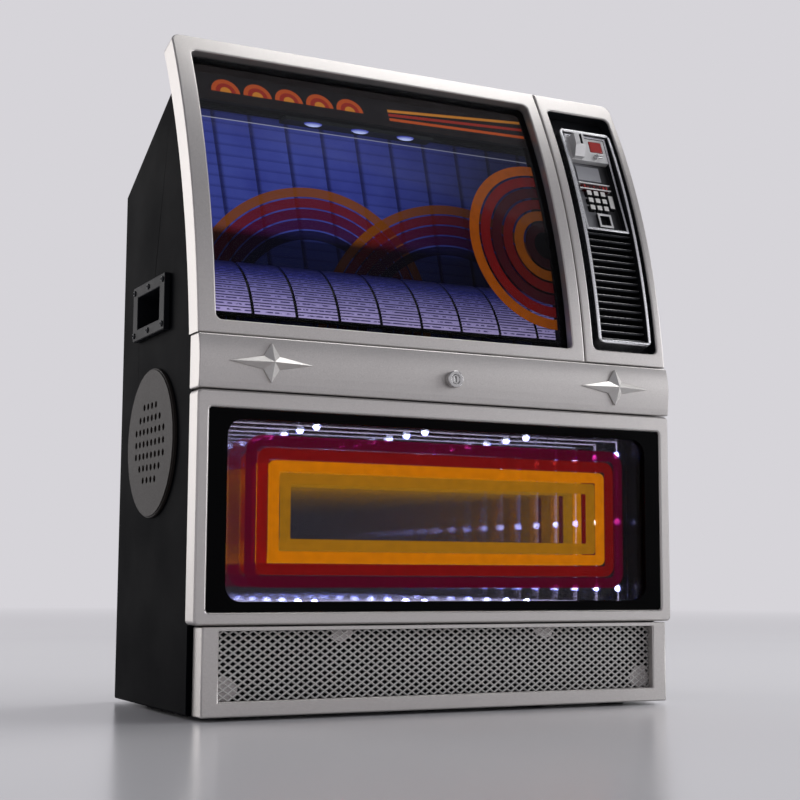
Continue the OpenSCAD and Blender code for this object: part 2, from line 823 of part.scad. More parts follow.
module tunnel_box() {
    color("#0a0a0c") placed() difference() {
        box(-tun_box_hw, tun_box_hw, tun_box_y0, tun_box_y1, tun_box_z0, tun_box_z1);
        along_y(tun_box_y0 - over, tun_box_y1 - tun_wall)
            round_rect(-tun_in_hw - fit, tun_in_hw + fit, tun_in_z0 - fit, tun_in_z1 + fit, mask_r - 1);
    }
}

// Band

lock_z = band_nose_z - 1.2;

module band_outline() {
    intersection() {
        translate([-over, band_z0]) square([moulding_back + over, band_h]);
        union() {
            intersection() {
                translate([band_upper_r, band_nose_z]) circle(r = band_upper_r, $fn = 128);
                translate([-over, band_nose_z]) square([moulding_back + over, band_h]);
            }
            intersection() {
                translate([band_lower_r, band_nose_z]) circle(r = band_lower_r, $fn = 128);
                translate([-over, band_nose_z - band_h]) square([moulding_back + over, band_h]);
            }
        }
    }
}

module centre_band() {
    color("#b9b5b3") placed() difference() {
        along_x(-front_hw, front_hw) band_outline();
        rod_y(lock_body_d + 2 * run, -over, moulding_back + over, 0, lock_z);
    }
}

// Four-point stars, faceted from each point to the middle
module star(x) {
    waist_x = 2.6;
    waist_h = 2;
    rim_y = -0.5;
    points = [[star_half_l, 0], [waist_x, waist_h], [0, star_half_h], [-waist_x, waist_h],
              [-star_half_l, 0], [-waist_x, -waist_h], [0, -star_half_h], [waist_x, -waist_h]];
    count = len(points);
    translate([x, 0, band_nose_z]) {
        difference() {
            along_y(rim_y, 1) polygon(points);
            translate([-front_hw, -seat, -band_nose_z]) along_x(0, front_w) band_outline();
        }
        polyhedron(points = concat([for (p = points) [p[0], rim_y, p[1]]], [[0, -star_rise, 0]]),
                   faces = concat([for (i = [0 : count - 1]) [(i + 1) % count, i, count]],
                                  [[for (i = [0 : count - 1]) i]]));
    }
}

module star_ornaments() {
    color("#d2cfcd") placed() for (side = [-1, 1]) star(side * star_x);
}

lock_body_d = lock_plug_d + 1.4;
lock_head_y = -2.4;
lock_back_y = moulding_back + 1.6;

module lock_barrel() {
    color("#c4c2c0") placed() difference() {
        union() {
            rod_y(lock_d, lock_head_y, -0.05, 0, lock_z);
            rod_y(lock_body_d, lock_head_y + 0.5, lock_back_y, 0, lock_z);
            rod_y(lock_d + 2, moulding_back + 0.1, lock_back_y, 0, lock_z);
        }
        rod_y(lock_plug_d + 2 * run, lock_head_y - over, lock_back_y + over, 0, lock_z);
    }
}

// The plug turns in the barrel and carries the cam behind it
module lock_plug() {
    color("#8f8f92") placed() difference() {
        union() {
            rod_y(lock_plug_d, lock_head_y + 0.2, lock_back_y + 1.6, 0, lock_z);
            box(-lock_plug_d / 2, 7, lock_back_y + 0.3, lock_back_y + 1.5, lock_z - 1.4, lock_z + 1.4);
        }
        box(-0.25, 0.25, lock_head_y - over, lock_head_y + 2, lock_z - 0.9, lock_z + 0.9);
    }
}

// Window lid

module lid_outline() {
    h0 = tilt_h(upper_z0, win_zt) + reach_front;
    h1 = tilt_h(top_z, win_zt);
    difference() {
        translate([lid_x0, h0]) square([lid_x1 - lid_x0, h1 - h0]);
        window_outline(0);
    }
}

// What is cut from the lid to round its outer top corner
module lid_corner() {
    corner_h = tilt_h(top_z, win_zt) - corner_r;
    difference() {
        translate([lid_x0 - over, corner_h]) square([corner_r + over, corner_r + over]);
        translate([lid_x0 + corner_r, corner_h]) circle(r = corner_r);
    }
}

module window_outline(grow) {
    round_rect(win_x0 - grow, win_x1 + grow, tilt_h(win_z0, win_zt) - grow,
               tilt_h(win_z1, win_zt) + grow, window_r);
}

// The back of the part of the lid that stands above the sloped top
module visor_outline() {
    h0 = tilt_h(roof_z - fascia_t, win_zt);
    translate([lid_x0 + visor_inset, h0])
        square([lid_x1 - lid_x0 - 2 * visor_inset, tilt_h(top_z, win_zt) - visor_inset - h0]);
}

module window_frame() {
    color("#b9b5b3") placed() difference() {
        union() {
            difference() {
                curved_piece(0, fascia_t, win_zt) lid_outline();
                curved_piece(glass_set, fascia_t + over, win_zt) window_outline(ledge);
                on_curve(win_zt) along_y(reach_front, reach_back) lid_corner();
            }
            intersection() {
                curved_piece(fascia_t - bond, fascia_t + visor_t, win_zt) visor_outline();
                box(lid_x0, lid_x1, 0, body_d, visor_z0, top_z + over);
            }
            for (x = hinge_xs) lid_knuckle(x);
        }
        for (x = hinge_xs) {
            rod_x(pin_d + 2 * run, x - knuckle_l, x + knuckle_l, hinge_y, hinge_z);
        }
    }
}

module lid_knuckle(x) {
    rod_x(knuckle_d, x - knuckle_l / 2, x + knuckle_l / 2, hinge_y, hinge_z);
    intersection() {
        box(x - knuckle_l / 2, x + knuckle_l / 2, hinge_y - knuckle_d, hinge_y,
            hinge_z, hinge_z + knuckle_d / 2);
        curved_layer(x - knuckle_l, x + knuckle_l, fascia_t + visor_t / 2, fascia_t + 2 * knuckle_d);
    }
}

module window_glass() {
    color("#c8d0dc", 0.25) placed()
        curved_piece(glass_set + fit / 2, glass_set + fit / 2 + glass_t, win_zt)
            window_outline(ledge - fit);
}

module window_liner() {
    color("#08080a") placed()
        curved_piece(liner_d0, fascia_t - fit, win_zt) difference() {
            window_outline(ledge - fit);
            window_outline(-liner_w);
        }
}

module header_panel() {
    h0 = tilt_h(win_z1, win_zt) - liner_w - fit - header_h;
    color("#3a3230") placed()
        curved_piece(liner_d0, liner_d0 + header_t, win_zt) intersection() {
            window_outline(-liner_w - fit);
            translate([win_x0, h0]) square([win_x1 - win_x0, header_h + over]);
        }
}

// Title display

module display_box() {
    color("#0a0a0d") placed() difference() {
        intersection() {
            box(box_x0, box_x1, 0, box_y1, box_z0, box_z1);
            rod_x(2 * (front_r - chamber_d0), box_x0 - over, box_x1 + over, curve_y, curve_z, $fn = 256);
        }
        box(box_x0 + box_t, box_x1 - box_t, -over, box_y1 - box_t, box_inner_z0, box_inner_z1);
    }
}

module drum_ring(x0, x1, r0, r1, a0, a1) {
    along_x(x0, x1) translate([drum_y, drum_z]) intersection() {
        difference() {
            circle(r = r1, $fn = 128);
            circle(r = r0, $fn = 128);
        }
        polygon([[0, 0], 3 * r1 * [cos(a0), sin(a0)], 3 * r1 * [cos(a1), sin(a1)]]);
    }
}

// Half drum that carries the cards, on two ribs that stand on the display box's floor
module title_rack() {
    x0 = box_x0 + box_t + fit;
    x1 = box_x1 - box_t - fit;
    rib = 2;
    color("#12121a") placed() {
        drum_ring(x0, x1, drum_r - drum_t, drum_r, drum_a0, drum_a1);
        for (x = [x0, x1 - rib]) {
            along_x(x, x + rib) intersection() {
                translate([drum_y, drum_z]) circle(r = drum_r - drum_t / 2, $fn = 128);
                translate([drum_foot_y + drum_t, box_inner_z0 + seat])
                    square([drum_r * (cos(drum_a0) - cos(drum_a1)) - drum_t, drum_r]);
            }
        }
    }
}

// Columns of cards; the last one is cut off at the end of the drum
module title_cards() {
    x0 = box_x0 + box_t + fit + card_inset;
    x1 = box_x1 - box_t - fit;
    count = ceil((x1 - x0 - card_min_w) / card_pitch);
    color("#b9b6e0") placed() for (i = [0 : count - 1]) {
        drum_ring(x0 + i * card_pitch, min(x0 + (i + 1) * card_pitch - card_gap, x1), drum_r + seat,
                  drum_r + seat + card_t, drum_a0 + card_margin, drum_a1 - card_margin);
    }
}

// Lit panel behind the drum
module rear_panel() {
    color("#46509a") placed() box(box_x0 + box_t + fit, box_x1 - box_t - fit, mirror_y, mirror_y + mirror_t,
                                  box_inner_z0 + seat, box_inner_z1 - seat);
}

lamp_x = (win_x0 + win_x1) / 2 - 4;
lamp_pitch = 17;
lamp_d = 3.4;
lamp_board_half = 1.6 * lamp_pitch;
lamp_board_z0 = box_inner_z1 - 1.3;
lamp_board_y0 = front_y(lamp_board_z0, glass_back + 0.9);
lamp_board_y1 = mirror_y - 0.3;
lamp_y = (lamp_board_y0 + lamp_board_y1) / 2;

// Selector side

module selector_outline() {
    h0 = tilt_h(upper_z0, rec_zt) + reach_front;
    h1 = tilt_h(top_z, rec_zt);
    x0 = seam_x + seam / 2;
    difference() {
        intersection() {
            round_rect(x0 - 2 * corner_r, front_hw, h0, h1, corner_r);
            translate([x0, h0 - over]) square([front_hw - x0 + over, h1 - h0 + 2 * over]);
        }
        recess_outline(0);
    }
}

module recess_outline(grow) {
    round_rect(rec_x0 - grow, rec_x1 + grow, tilt_h(rec_z0, rec_zt) - grow,
               tilt_h(rec_z1, rec_zt) + grow, window_r);
}

module selector_frame() {
    color("#b9b5b3") placed() difference() {
        curved_piece(0, fascia_t, rec_zt) selector_outline();
        curved_piece(recess_d, fascia_t + over, rec_zt) recess_outline(rec_ledge);
    }
}

module bezel_outline(inset) {
    round_rect(bezel_x0 + inset, bezel_x1 - inset, bezel_h0 + inset, bezel_h1 - inset,
               bezel_r - inset * bezel_taper);
}

module selector_backplate() {
    color("#101114") placed() difference() {
        curved_piece(recess_d + seat, recess_d + recess_t, rec_zt)
            recess_outline(rec_ledge - fit);
        on_curve(bezel_zt) along_y(reach_front, reach_back) bezel_outline(bezel_rim);
    }
}

module selector_bezel() {
    color("#d9d9dc") placed() curved_piece(-bezel_rise, recess_d, bezel_zt) difference() {
        bezel_outline(0);
        bezel_outline(bezel_rim);
    }
}

function key_place(n) = [key_x + ((n - 1) % 3 - 1) * key_pitch_x,
                         key_h + (1 - floor((n - 1) / 3)) * key_pitch_h];

// Dark tray with a silver rim; the keys and the cup pass through its floor
module selector_pan() {
    color("#3a3b40") placed() on_pan() difference() {
        union() {
            box(pan_x0, pan_x1, pan_front, pan_floor + bond, pan_h0, pan_h1);
            box(pan_base_x0, pan_base_x1, pan_floor, pan_back, pan_h0, pan_h1);
        }
        box(pan_x0 + pan_rim, pan_x1 - pan_rim, pan_front - over, pan_floor,
            pan_h0 + pan_rim, pan_h1 - pan_rim);
        for (n = [1 : 9]) key_hole(key_place(n), key_w, key_w);
        key_hole([tall_x, key_h], key_w, tall_l);
        key_hole([reject_x, reject_h], stem_w, stem_h);
        box(cup_x - cup_w / 2 + cup_t, cup_x + cup_w / 2 - cup_t, pan_floor - over, pan_back + over,
            cup_h - cup_w / 2 + cup_t, cup_h + cup_w / 2 - cup_t);
    }
}

module key_hole(p, w, h) {
    box(p[0] - w / 2 - slide, p[0] + w / 2 + slide, pan_front - over, pan_back + over,
        p[1] - h / 2 - slide, p[1] + h / 2 + slide);
}

// A key's cap, and the flange that keeps it behind the tray
module push_key(p, w, h, top) {
    box(p[0] - w / 2, p[0] + w / 2, top, flange_y + bond, p[1] - h / 2, p[1] + h / 2);
    box(p[0] - w / 2, p[0] + w / 2, flange_y, flange_y + flange_t,
        p[1] - h / 2 - flange_lip, p[1] + h / 2 + flange_lip);
}

module key_cap(n) {
    color("#f2f2f2") placed() on_pan() push_key(key_place(n), key_w, key_w, key_top);
}

module tall_key() {
    color("#f2f2f2") placed() on_pan() push_key([tall_x, key_h], key_w, tall_l, key_top);
}

module coin_plate() {
    color("#d4d4d6") placed() on_pan() difference() {
        box(coin_x0, coin_x1, coin_front, coin_back, coin_h0, coin_h1);
        box(reject_x - reject_w / 2 - slide, reject_x + reject_w / 2 + slide, 0, coin_back + over,
            reject_h - reject_t / 2 - slide, reject_h + reject_t / 2 + slide);
        rod_y(lever_pin_d + 2 * run, 0, coin_back + over, lever_x, lever_h);
    }
}

// Coin entry: a sloped block with its slot
module coin_entry() {
    edge = 0.4;
    x0 = coin_x0 + 1.5 * edge;
    x1 = x0 + 4;
    h0 = coin_h0 + edge;
    h1 = coin_h1 - edge;
    rise = 3.6;
    front = coin_front - seat;
    slot_x = x0 + 2.1;
    slot_w = 0.9;
    color("#c2c2c4") placed() on_pan() difference() {
        along_x(x0, x1) polygon([[front, h0], [front, h1], [pan_front - rise, h1 - 2 * edge],
                                 [pan_front - rise, h0 + rise], [pan_front - rise / 3, h0]]);
        box(slot_x, slot_x + slot_w, -rise - over, pan_front - slot_w, h0 + rise + edge, h1 + over);
    }
}

module reject_button() {
    color("#d8281e") placed() on_pan() {
        box(reject_x - reject_w / 2, reject_x + reject_w / 2,
            pan_front + cap_sink, pan_floor - fit - key_travel,
            reject_h - reject_t / 2, reject_h + reject_t / 2);
        push_key([reject_x, reject_h], stem_w, stem_h, pan_front + cap_t);
    }
}

// Small lever that swings on the coin plate
module return_lever() {
    color("#8d8d92") placed() on_pan() {
        rod_y(lever_hub_d, lever_y0, coin_front - run, lever_x, lever_h);
        rod_y(lever_pin_d, pan_front, coin_back, lever_x, lever_h);
        box(lever_x, lever_x + lever_l, lever_y0, lever_y0 + lever_t,
            lever_h - lever_t / 2, lever_h + lever_t / 2);
    }
}

// Red display between two silver bars
module price_display() {
    color("#7a1512") placed() on_pan()
        box(display_x0, display_x1, pan_floor - display_t, pan_floor - seat,
            display_h - display_half_h, display_h + display_half_h);
}

// A square block on the cup's axis
module cup_block(half, y0, y1) {
    box(cup_x - half, cup_x + half, y0, y1, cup_h - half, cup_h + half);
}

module return_cup() {
    half = cup_w / 2;
    throat = half - cup_t - run;
    bore = throat - cup_wall;
    color("#b4b4b8") placed() on_pan() difference() {
        union() {
            cup_block(half, pan_floor - display_t, pan_floor - seat);
            cup_block(throat, pan_floor - bond, pan_back);
        }
        cup_block(bore, 0, pan_back - cup_wall);
    }
}

module louvre_grille() {
    slat = slat_pitch * slat_share;
    color("#8f9094") placed() {
        curved_piece(recess_d - slat_root, recess_d + recess_t, bezel_zt)
            translate([well_x0 + fit, louvre_h0])
                square([well_x1 - well_x0 - 2 * fit, louvre_h1 - louvre_h0]);
        curved_piece(louvre_d0, recess_d - slat_root + bond, bezel_zt)
            for (i = [0 : slat_count]) {
                translate([well_x0 + fit, louvre_h0 + bond + i * slat_pitch])
                    square([well_x1 - well_x0 - 2 * fit, slat]);
            }
    }
}

// Sides

module handle_plate() {
    y0 = handle_y - grip_w / 2;
    y1 = handle_y + grip_w / 2;
    z0 = handle_z - grip_h / 2;
    z1 = handle_z + grip_h / 2;
    difference() {
        union() {
            box(plate_x, -side_hw, handle_y - handle_w / 2, handle_y + handle_w / 2,
                handle_z - handle_h / 2, handle_z + handle_h / 2);
            box(plate_x, cup_floor_x + grip_wall, y0 - grip_wall, y1 + grip_wall,
                z0 - grip_wall, z1 + grip_wall);
        }
        box(plate_x - over, cup_floor_x, y0, y1, z0, z1);
        for (p = handle_screw_places()) {
            rod_x(screw_shank_d + 2 * run, plate_x - over, -side_hw + over, p[0], p[1]);
        }
    }
}

module handle_plates() {
    color("#1a1b20") placed() {
        handle_plate();
        mirror([1, 0, 0]) handle_plate();
    }
}

grille_rows = [4, 6, 8, 8, 8, 6, 4];
grille_pitch_y = 4;
grille_pitch_z = 3.9;

// Round flat grille with a stepped edge; its holes lie in short and long rows
module grille() {
    x1 = -side_hw;
    x0 = x1 - grille_t;
    edge = 0.4;
    last_row = len(grille_rows) - 1;
    difference() {
        union() {
            rod_x(grille_d, x0 + edge, x1, speaker_y, speaker_z);
            rod_x(grille_d - 2 * edge, x0, x1, speaker_y, speaker_z);
        }
        for (r = [0 : last_row], i = [0 : grille_rows[r] - 1]) {
            rod_x(grille_hole_d, x0 - over, x1 + over,
                  speaker_y + (i - (grille_rows[r] - 1) / 2) * grille_pitch_y,
                  speaker_z + (r - last_row / 2) * grille_pitch_z);
        }
    }
}

module speaker_grilles() {
    color("#4a4643") placed() {
        grille();
        mirror([1, 0, 0]) grille();
    }
}

// Driver: a basket with its flange on the side panel, and a magnet with a gap for the voice coil
module driver() {
    magnet_x = basket_x + basket_l;
    difference() {
        union() {
            rod_x(driver_d, basket_x, basket_x + basket_flange_t, speaker_y, speaker_z);
            translate([basket_x + basket_flange_t, speaker_y, speaker_z]) rotate([0, 90, 0])
                cylinder(d1 = driver_d - 2, d2 = magnet_d + 2, h = basket_l - basket_flange_t);
            rod_x(magnet_d, magnet_x - 0.1, magnet_x + magnet_t, speaker_y, speaker_z);
        }
        translate([basket_x - 0.01, speaker_y, speaker_z]) rotate([0, 90, 0])
            cylinder(d1 = driver_d - 4, d2 = magnet_d - 2, h = basket_l - 1.4);
        difference() {
            rod_x(gap_d + 2 * coil_t + 1, magnet_x - 3, magnet_x + 4, speaker_y, speaker_z);
            rod_x(gap_d - 1, magnet_x - 4, magnet_x + 5, speaker_y, speaker_z);
        }
    }
}

module speaker_drivers() {
    color("#2b2c30") placed() {
        driver();
        mirror([1, 0, 0]) driver();
    }
}

// Cone with its dust cap and the voice coil that runs in the magnet's gap
module cone() {
    rim_x = basket_x + cone_travel + cone_set;
    coil_r = gap_d / 2;
    rim_r = cone_d / 2;
    translate([rim_x, speaker_y, speaker_z]) rotate([0, 90, 0]) rotate_extrude() polygon([
        [0, cone_deep - cone_t], [coil_r, cone_deep], [rim_r - surround_w, 0], [rim_r, 0], [rim_r, cone_t],
        [rim_r - surround_w, cone_t], [coil_r + coil_t, cone_deep + cone_t], [coil_r + coil_t, coil_end],
        [coil_r, coil_end], [coil_r, cone_deep + cone_t], [0, cone_deep]]);
}

module left_cone() {
    color("#1b1b1e") placed() cone();
}

module right_cone() {
    color("#1b1b1e") placed() mirror([1, 0, 0]) cone();
}

// Main board on the back cover, key board behind the selector panel, lamp board over the title display
module circuit_boards() {
    color("#1d4a2c") placed() {
        box(-board_w / 2, board_w / 2, main_board_y1 - board_t, main_board_y1, board_z0, board_z0 + board_l);
        on_pan() box(pan_base_x0 + pan_inset, pan_base_x1 - pan_inset, board_y, board_y + board_t,
                     pan_h0 + pan_inset, pan_h1 - pan_inset);
        box(lamp_x - lamp_board_half, lamp_x + lamp_board_half, lamp_board_y0, lamp_board_y1,
            lamp_board_z0, box_inner_z1 - bond);
    }
}

// Two cells side by side on the base, in front of the main board
module battery_pack() {
    color("#2c4f8f") placed() along_x(-cell_l / 2, cell_l / 2) for (i = [0, 1]) {
        translate([cell_y - i * (cell_d - bond), base_t + seat + cell_d / 2]) circle(d = cell_d);
    }
}

module usb_shell(inset, y0, y1) {
    box(usb_x - usb_w / 2 + inset, usb_x + usb_w / 2 - inset, y0, y1,
        usb_z - usb_h / 2 + inset, usb_z + usb_h / 2 - inset);
}

module usb_port() {
    color("#a9abb0") placed() difference() {
        usb_shell(0, main_board_y1 + seat, body_d - usb_sink);
        usb_shell(usb_t, cover_y0, body_d);
    }
}

// Power button: pushed in from the back, kept by its flange
module power_button() {
    color("#8a8a8e") placed() {
        rod_y(button_d, cover_y0 - fit - button_flange, body_d - button_sink, button_x, usb_z);
        rod_y(button_d + 2 * button_lip, cover_y0 - fit - button_flange, cover_y0 - fit, button_x, usb_z);
    }
}

left_side_panel();
right_side_panel();
base_board();
sloped_top_panel();
back_cover();
fasteners();
feet();
plinth_frame();
plinth_mesh();
lower_door_frame();
tunnel_mask();
tunnel_glass();
tunnel_stripes();
half_mirror();
light_guide();
leds();
tunnel_mirror();
tunnel_box();
centre_band();
star_ornaments();
lock_barrel();
lock_plug();
window_frame();
window_glass();
window_liner();
header_panel();
selector_frame();
selector_backplate();
selector_bezel();
selector_pan();
coin_plate();
coin_entry();
reject_button();
return_lever();
price_display();
key_cap(1);  // key_1
key_cap(2);  // key_2
key_cap(3);  // key_3
key_cap(4);  // key_4
key_cap(5);  // key_5
key_cap(6);  // key_6
key_cap(7);  // key_7
key_cap(8);  // key_8
key_cap(9);  // key_9
tall_key();
return_cup();
louvre_grille();
display_box();
title_rack();
title_cards();
rear_panel();
handle_plates();
speaker_grilles();
speaker_drivers();
left_cone();
right_cone();
circuit_boards();
battery_pack();
usb_port();
power_button();
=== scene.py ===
# %% [markdown]
# # Dressing a jukebox-shaped speaker
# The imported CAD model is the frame: every solid is already in its place, in metres. This lesson gives the
# solids their finishes, rounds the edges that catch the light, and adds the small things that a solid model
# leaves out, such as the strands of a mesh, screw heads and printed stripes.

# %% Load the frame
import json
import math

import bmesh
import bpy
from mathutils import Matrix, Vector


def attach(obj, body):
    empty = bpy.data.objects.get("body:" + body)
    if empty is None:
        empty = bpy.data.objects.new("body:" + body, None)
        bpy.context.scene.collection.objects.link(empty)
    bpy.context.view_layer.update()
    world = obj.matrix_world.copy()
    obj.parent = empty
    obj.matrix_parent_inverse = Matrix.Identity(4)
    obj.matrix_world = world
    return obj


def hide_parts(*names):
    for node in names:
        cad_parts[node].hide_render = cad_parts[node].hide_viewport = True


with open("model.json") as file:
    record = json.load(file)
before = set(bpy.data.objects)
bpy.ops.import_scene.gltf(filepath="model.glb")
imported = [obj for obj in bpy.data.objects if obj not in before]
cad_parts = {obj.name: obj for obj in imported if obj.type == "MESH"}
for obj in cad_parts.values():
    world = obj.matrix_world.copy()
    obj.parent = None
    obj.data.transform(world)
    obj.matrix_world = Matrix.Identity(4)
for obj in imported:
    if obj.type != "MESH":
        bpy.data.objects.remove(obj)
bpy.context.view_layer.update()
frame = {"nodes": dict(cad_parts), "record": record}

scene = bpy.context.scene
nodes = frame["nodes"]
body_of = {}
for body, members in frame["record"]["behaviour"]["bodies"].items():
    for member in members:
        body_of[member] = body

# %% [markdown]
# ## Measures
# The drawing of the speaker counts millimetres from the nose of the silver band and from the plinth's foot.
# The frame counts metres from the middle of the floor under the object. One helper turns the first into the
# second, so that every number below can be read off the drawing, and one turns it back. The others follow the
# curved front and the flat tray of the selector, whose pieces lie on tilted planes.

# %% From the drawing to the frame
MM = 0.001
MIDDLE_Y = 39.4
FOOT_HEIGHT = 1.2
CURVE_Y = 245.9
CURVE_Z = 89.8
CURVE_R = 244.8
TRAY_Z = 179.0
SELECTOR_X = 68.25


def at(x, y, z):
    """A point of the drawing, in the frame."""
    return Vector((x * MM, (y - MIDDLE_Y) * MM, (z + FOOT_HEIGHT) * MM))


def drawn(point):
    """A point of the frame, as the drawing counts it."""
    return point.x / MM, point.y / MM + MIDDLE_Y, point.z / MM - FOOT_HEIGHT


def lean_at(z):
    """How far the curved front leans back at a height."""
    return math.asin((z - CURVE_Z) / CURVE_R)


def front_y(z, depth=0.0):
    """How far back the curved front lies at a height, or a layer at some depth behind it."""
    return CURVE_Y - math.sqrt((CURVE_R - depth) ** 2 - (z - CURVE_Z) ** 2)


def on_front(x, z, depth):
    """A point on the curved front, in the frame."""
    return at(x, front_y(z, depth), z)


def front_depth(point):
    """How far a point of the frame lies behind the curved front, in millimetres."""
    x, y, z = drawn(point)
    return CURVE_R - math.hypot(y - CURVE_Y, z - CURVE_Z)


def on_tray(x, depth, height):
    """A point on the selector's tray, which touches the curve at one height."""
    lean = lean_at(TRAY_Z)
    y = front_y(TRAY_Z) + height * math.sin(lean) + depth * math.cos(lean)
    z = TRAY_Z + height * math.cos(lean) - depth * math.sin(lean)
    return at(x, y, z)


print("front at the tray:", [round(v, 4) for v in on_tray(SELECTOR_X, 0, 0)])

# %% [markdown]
# ## Camera
# The picture is taken from low on the left, close by, so the verticals lean together a little and the curved
# window seems to tower. The place and the turn of the camera come from matching the corners of the real
# front with those of the drawing, and they are set as a matrix, because three turned angles are hard to read.

# %% Set the camera
CAMERA_PLACE = Vector((-0.22835, -0.45721, 0.0418))
CAMERA_YAW = math.radians(26.659)
CAMERA_PITCH = math.radians(6.631)
CAMERA_ROLL = math.radians(0.281)
LENS = 68.26

forward = Vector((math.sin(CAMERA_YAW) * math.cos(CAMERA_PITCH),
                  math.cos(CAMERA_YAW) * math.cos(CAMERA_PITCH), math.sin(CAMERA_PITCH)))
level = Vector((math.cos(CAMERA_YAW), -math.sin(CAMERA_YAW), 0))
upward = level.cross(forward)
right = level * math.cos(CAMERA_ROLL) + upward * math.sin(CAMERA_ROLL)
up = upward * math.cos(CAMERA_ROLL) - level * math.sin(CAMERA_ROLL)

lens = bpy.data.cameras.new("portrait")
lens.lens = LENS
lens.sensor_width = 36
lens.sensor_fit = "AUTO"
lens.clip_start = 0.01
camera = bpy.data.objects.new("portrait", lens)
scene.collection.objects.link(camera)
camera.matrix_world = Matrix.Translation(CAMERA_PLACE) @ Matrix((right, up, -forward)).transposed().to_4x4()
scene.camera = camera
print("camera at", [round(v, 3) for v in camera.location])

# %% [markdown]
# ## Words for the shaders
# A material is a small net of nodes. Written out node by node it is long and hard to read, so one class wraps
# an output socket: an expression such as `1 - line * 0.4` adds the Math nodes by itself. Every other node
# comes from one method that takes the node's type, its settings, and the values or links of its inputs.
# The same class also builds the Geometry Nodes trees further down.


# %% A socket that can be calculated with
class Wire:
    """An output socket of a node tree. Sums and products of wires add Math nodes to the tree."""

    def __init__(self, tree, socket=None):
        self.tree = tree
        self.socket = socket

    def node(self, kind, settings=None, inputs=None, output=0):
        """Adds a node with these settings and inputs, and returns one of its outputs."""
        made = self.tree.nodes.new(kind)
        for name, value in (settings or {}).items():
            if name == "stops":
                spread_stops(made.color_ramp, value)
            else:
                setattr(made, name, value)
        for key, value in (inputs or {}).items():
            if isinstance(value, Wire):
                self.tree.links.new(value.socket, made.inputs[key])
            else:
                made.inputs[key].default_value = value
        return Wire(self.tree, made.outputs[output] if made.outputs else None)

    def math(self, operation, *values):
        """Adds a Math node for an operation on some values."""
        inputs = dict(enumerate(values))
        return self.node("ShaderNodeMath", {"operation": operation}, inputs)

    def __add__(self, other):
        return self.math("ADD", self, other)

    def __sub__(self, other):
        return self.math("SUBTRACT", self, other)

    def __rsub__(self, other):
        return self.math("SUBTRACT", other, self)

    def __mul__(self, other):
        return self.math("MULTIPLY", self, other)

    def __truediv__(self, other):
        return self.math("DIVIDE", self, other)

    __radd__ = __add__
    __rmul__ = __mul__

    def below(self, edge, soft):
        """One where the value is under an edge, with a soft change of that width."""
        return self.node("ShaderNodeMapRange", {"interpolation_type": "SMOOTHSTEP"},
                         {"Value": self, "From Min": edge - soft, "From Max": edge + soft,
                          "To Min": 1.0, "To Max": 0.0})

    def spread(self, low, high, first=0.0, last=1.0):
        """The value's range from low to high, stretched to another range and held at its ends."""
        return self.node("ShaderNodeMapRange", {}, {"Value": self, "From Min": low, "From Max": high,
                                                    "To Min": first, "To Max": last})

    def mix(self, first, second):
        """A colour between two others; the wire says how far."""
        return self.node("ShaderNodeMix", {"data_type": "RGBA"}, {0: self, 6: first, 7: second}, output=2)


def spread_stops(ramp, stops):
    """Gives a colour ramp its stops, as pairs of a place and a colour."""
    while len(ramp.elements) < len(stops):
        ramp.elements.new(1.0)
    for element, (place, colour) in zip(ramp.elements, stops):
        element.position = place
        element.color = colour


def tint(code, strength=1.0):
    """A colour from its six-digit screen code, as the linear values that a shader works with."""
    parts = [int(code[i:i + 2], 16) / 255 for i in (0, 2, 4)]
    linear = [p / 12.92 if p <= 0.04045 else ((p + 0.055) / 1.055) ** 2.4 for p in parts]
    return (*(v * strength for v in linear), 1.0)


def finish(name, draw):
    """A new material whose surface is what draw makes from an empty tree."""
    made = bpy.data.materials.new(name)
    made.use_nodes = True
    made.node_tree.nodes.clear()
    start = Wire(made.node_tree)
    start.node("ShaderNodeOutputMaterial", {}, {"Surface": draw(start)})
    return made


def object_place(start):
    """The place on a piece, in metres."""
    return start.node("ShaderNodeTexCoord", output="Object")


def axes(place):
    """The three parts of a place, in the drawing's millimetres."""
    parts = [place.node("ShaderNodeSeparateXYZ", {}, {"Vector": place}, output=i) for i in range(3)]
    x, y, z = [part * (1 / MM) for part in parts]
    return x, y + MIDDLE_Y, z - FOOT_HEIGHT


def noise(place, scale, detail=2.0, stretch=None):
    """Cloudy values from 0 to 1; scale counts the clouds in a metre."""
    if stretch:
        place = place.node("ShaderNodeMapping", {}, {"Vector": place, "Scale": stretch})
    return place.node("ShaderNodeTexNoise", {}, {"Vector": place, "Scale": scale, "Detail": detail})


def span(across, along):
    """The distance from a centre, from how far a place lies across and along from it."""
    return across.math("SQRT", across * across + along * along)


def relief(height, strength, distance=0.0001):
    """A normal that shows small heights."""
    return height.node("ShaderNodeBump", {}, {"Height": height, "Strength": strength, "Distance": distance},
                       output="Normal")


def surface(start, inputs):
    """The general surface shader with these inputs."""
    return start.node("ShaderNodeBsdfPrincipled", {}, inputs)


def see_through(start, colour):
    """A shader that lets the view pass, in a colour."""
    return start.node("ShaderNodeBsdfTransparent", {}, {"Color": tint(colour)})


def blend(share, first, second):
    """Two shaders mixed; the share says how much of the second one shows."""
    return share.node("ShaderNodeMixShader", {}, {0: share, 1: first, 2: second})


print("shader words ready")

# %% [markdown]
# ## Studio
# A plain pale floor runs into a pale background, as a studio's paper sweep does. There are three soft lamps:
# a key lamp high on the right, which gives the band and the stars their light and dark sides, a fill lamp low
# on the right, and a rim lamp behind on the left, which brings out the bright left edges of the front. The
# camera and the rays that metal and glass mirror or pass see the background's own colour: pale round the
# horizon and darker overhead, so that leaning glass stays clear and metal gets its contrast. The light that
# the background sheds is set apart, so that a pale backdrop doesn't flood the object.

